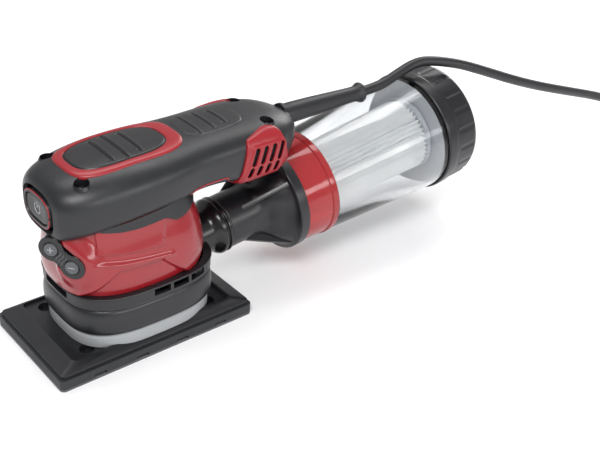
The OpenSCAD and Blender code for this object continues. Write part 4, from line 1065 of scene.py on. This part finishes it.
def make_canister():
    duct = [
        [12.5, -27], [14.5, -27], [14.5, -6], [18.5, -1], [18.5, 1.4], [17.4, 2.2], [17.4, 2.8], [18.5, 3.4],
        [18.5, 5], [14.5, 5], [14.5, 17.9], [12.5, 18],
    ]
    rounds = [0, 0.5, 2, 2, 0.5, 0.3, 0.3, 0.5, 0.6, 0.5, 0.5, 0]
    canister_part("duct_pipe", duct, "dust_duct", "black_gloss", rounds)
    funnel = [
        [14.6, 6.02], [17.5, 6.02], [17.7, 27], [21, 32], [27, 38], [32, 45.4], [35.4, 46.6], [35.4, 53.38],
        [28.5, 53.38], [28.5, 47.4], [20.1, 35], [14.6, 30],
    ]
    rounds = [0.3, 0.8, 4, 3, 5, 1.5, 0.7, 0.5, 0.3, 1, 2, 1]
    canister_part("funnel_bell", funnel, "funnel", "black_satin", rounds, 240, funnel_lobes)
    # fins that run from the neck out to the flange
    for k, a in enumerate(np.radians([45, 135, 225, 315])):
        out = math.cos(a) * np.array([0.0, 1, 0]) + math.sin(a) * np.cross(AXIS, [0, 1.0, 0])
        across = np.cross(AXIS, out)
        line = filleted([[17.0, 16], [33.6, 46.6], [30, 46.6], [17.0, 30]], [1, 0.6, 0.2, 1], 5)
        middle = line.mean(0)
        grid = []
        for half, share in FIN_LAYERS:
            shape = middle + (line - middle) * share
            grid.append(PORT + shape[:, :1] * out + shape[:, 1:] * AXIS + half * across)
        surface(f"funnel_fin_{k}", np.array(grid), "funnel", "black_satin", wrap=(False, True), keep=True)
    rim = can_r(77.4)
    collar = [[34.5, 53.42], [rim, 77.5], [rim - 2, 77.5], [32.5, 53.42]]
    canister_part("red_collar", collar, "canister_collar", radii=0.5)
    band = [[34.9, 72.4], [rim + 0.5, 73.0], [rim + 0.5, 77.4], [rim - 0.2, 77.4], [35.4, 72.4]]
    canister_part("collar_bead", band, "canister_collar", radii=0.3, keep=True)
    tube = [
        [can_r(TUBE_S), TUBE_S + 0.05], [can_r(CAP_S), CAP_S], [can_r(CAP_S) - 1.2, CAP_S + 0.2],
        [can_r(CAP_S) - 1.2, CAP_S + 9], [can_r(CAP_S) - 3.2, CAP_S + 9], [can_r(TUBE_S) - 2, TUBE_S + 0.05],
    ]
    canister_part("clear_barrel", tube, "canister_tube", radii=0.4, steps=256)
    flange = [[0.01, 172.9], [37.6, 172.9], [38.3, 171.9], [37.4, 171.6], [30, 171.9], [0.01, 171.9]]
    canister_part("filter_flange", flange, "filter_frame", radii=[0, 0.3, 0.2, 0.3, 2, 0], keep=True)
    cap = [
        [41.8, 174.45], [42.8, 174.45], [43.4, 175.6], [43.4, 182.4], [42.7, 183.4], [42.7, 199.6], [41.4, 202.8],
        [38.4, 205.35], [20, 205.35], [19, 204.6], [0.01, 204.6], [0.01, 203.2], [37.4, 203.2], [40.5, 199.4],
    ]
    line = filleted(cap, [0.3, 0.5, 0.5, 0.5, 0.5, 0, 2, 2, 0.8, 0.8, 0, 0, 1, 1], 6)
    side_line = np.linspace([42.7, 183.8], [42.7, 199.2], 40)
    at = int(np.argmax(line[:, 1] > 184.2))
    line = np.concatenate([line[:at], side_line, line[at:]])
    surface("scalloped_cap", turned(line, PORT, AXIS, 480, cap_scallops), "end_cap", wrap=(True, True))


# ---------- lead entry and small parts ----------

def make_relief():
    relief = filleted(
        [[0.01, -9.9], [4.2, -9.9], [4.2, 6.6], [6.6, 6.6], [6.8, 12], [6.5, 28], [5.9, 44], [5.2, 63], [5.2, 69],
         [7, 72.5], [6.6, 73.9], [3.6, 73.9], [3.6, 73], [0.01, 73]],
        [0, 0.3, 0.2, 0.8, 3, 6, 6, 5, 2, 0.8, 0.5, 0.2, 0, 0], 8)
    sleeve = turned(relief, (110.0, 0.0, GLAND_Z), (1.0, 0.0, 0.0), 64)
    surface("relief_sleeve", sleeve, "strain_relief", wrap=(True, True))
    rounded_copy("cord_gland", 0.4)


def make_small_parts():
    for node, bevel in (
        ("plug", 0.6), ("cord_tie", 0.3), ("head_screws", 0.25), ("tail_screws", 0.25), ("port_seal", 0.2),
        ("cord_clamp", 0.3), ("filter_frame", 0.4),
    ):
        rounded_copy(node, bevel)


place_camera()
light_studio()
lay_floor()
finish_cad_nodes()
make_lead()
make_grips()
make_trim_ring()
make_inlay("front_insert", "front_inlay", RING_INNER, 0.75, [(-14, 13), (-5, 15), (4.5, 12.5)], 0.9)
make_inlay("rear_insert", "rear_inlay", REAR_PANEL, 0.3, [(44.5, 12.5), (54.5, 11.5), (64, 9.5)], 0.8)
make_head_piping()
make_power_button()
make_lower_housing()
make_neck_collar()
make_keypad()
make_skirt()
make_vent_covers()
make_canister()
make_relief()
make_small_parts()

scene.view_settings.view_transform = "Standard"
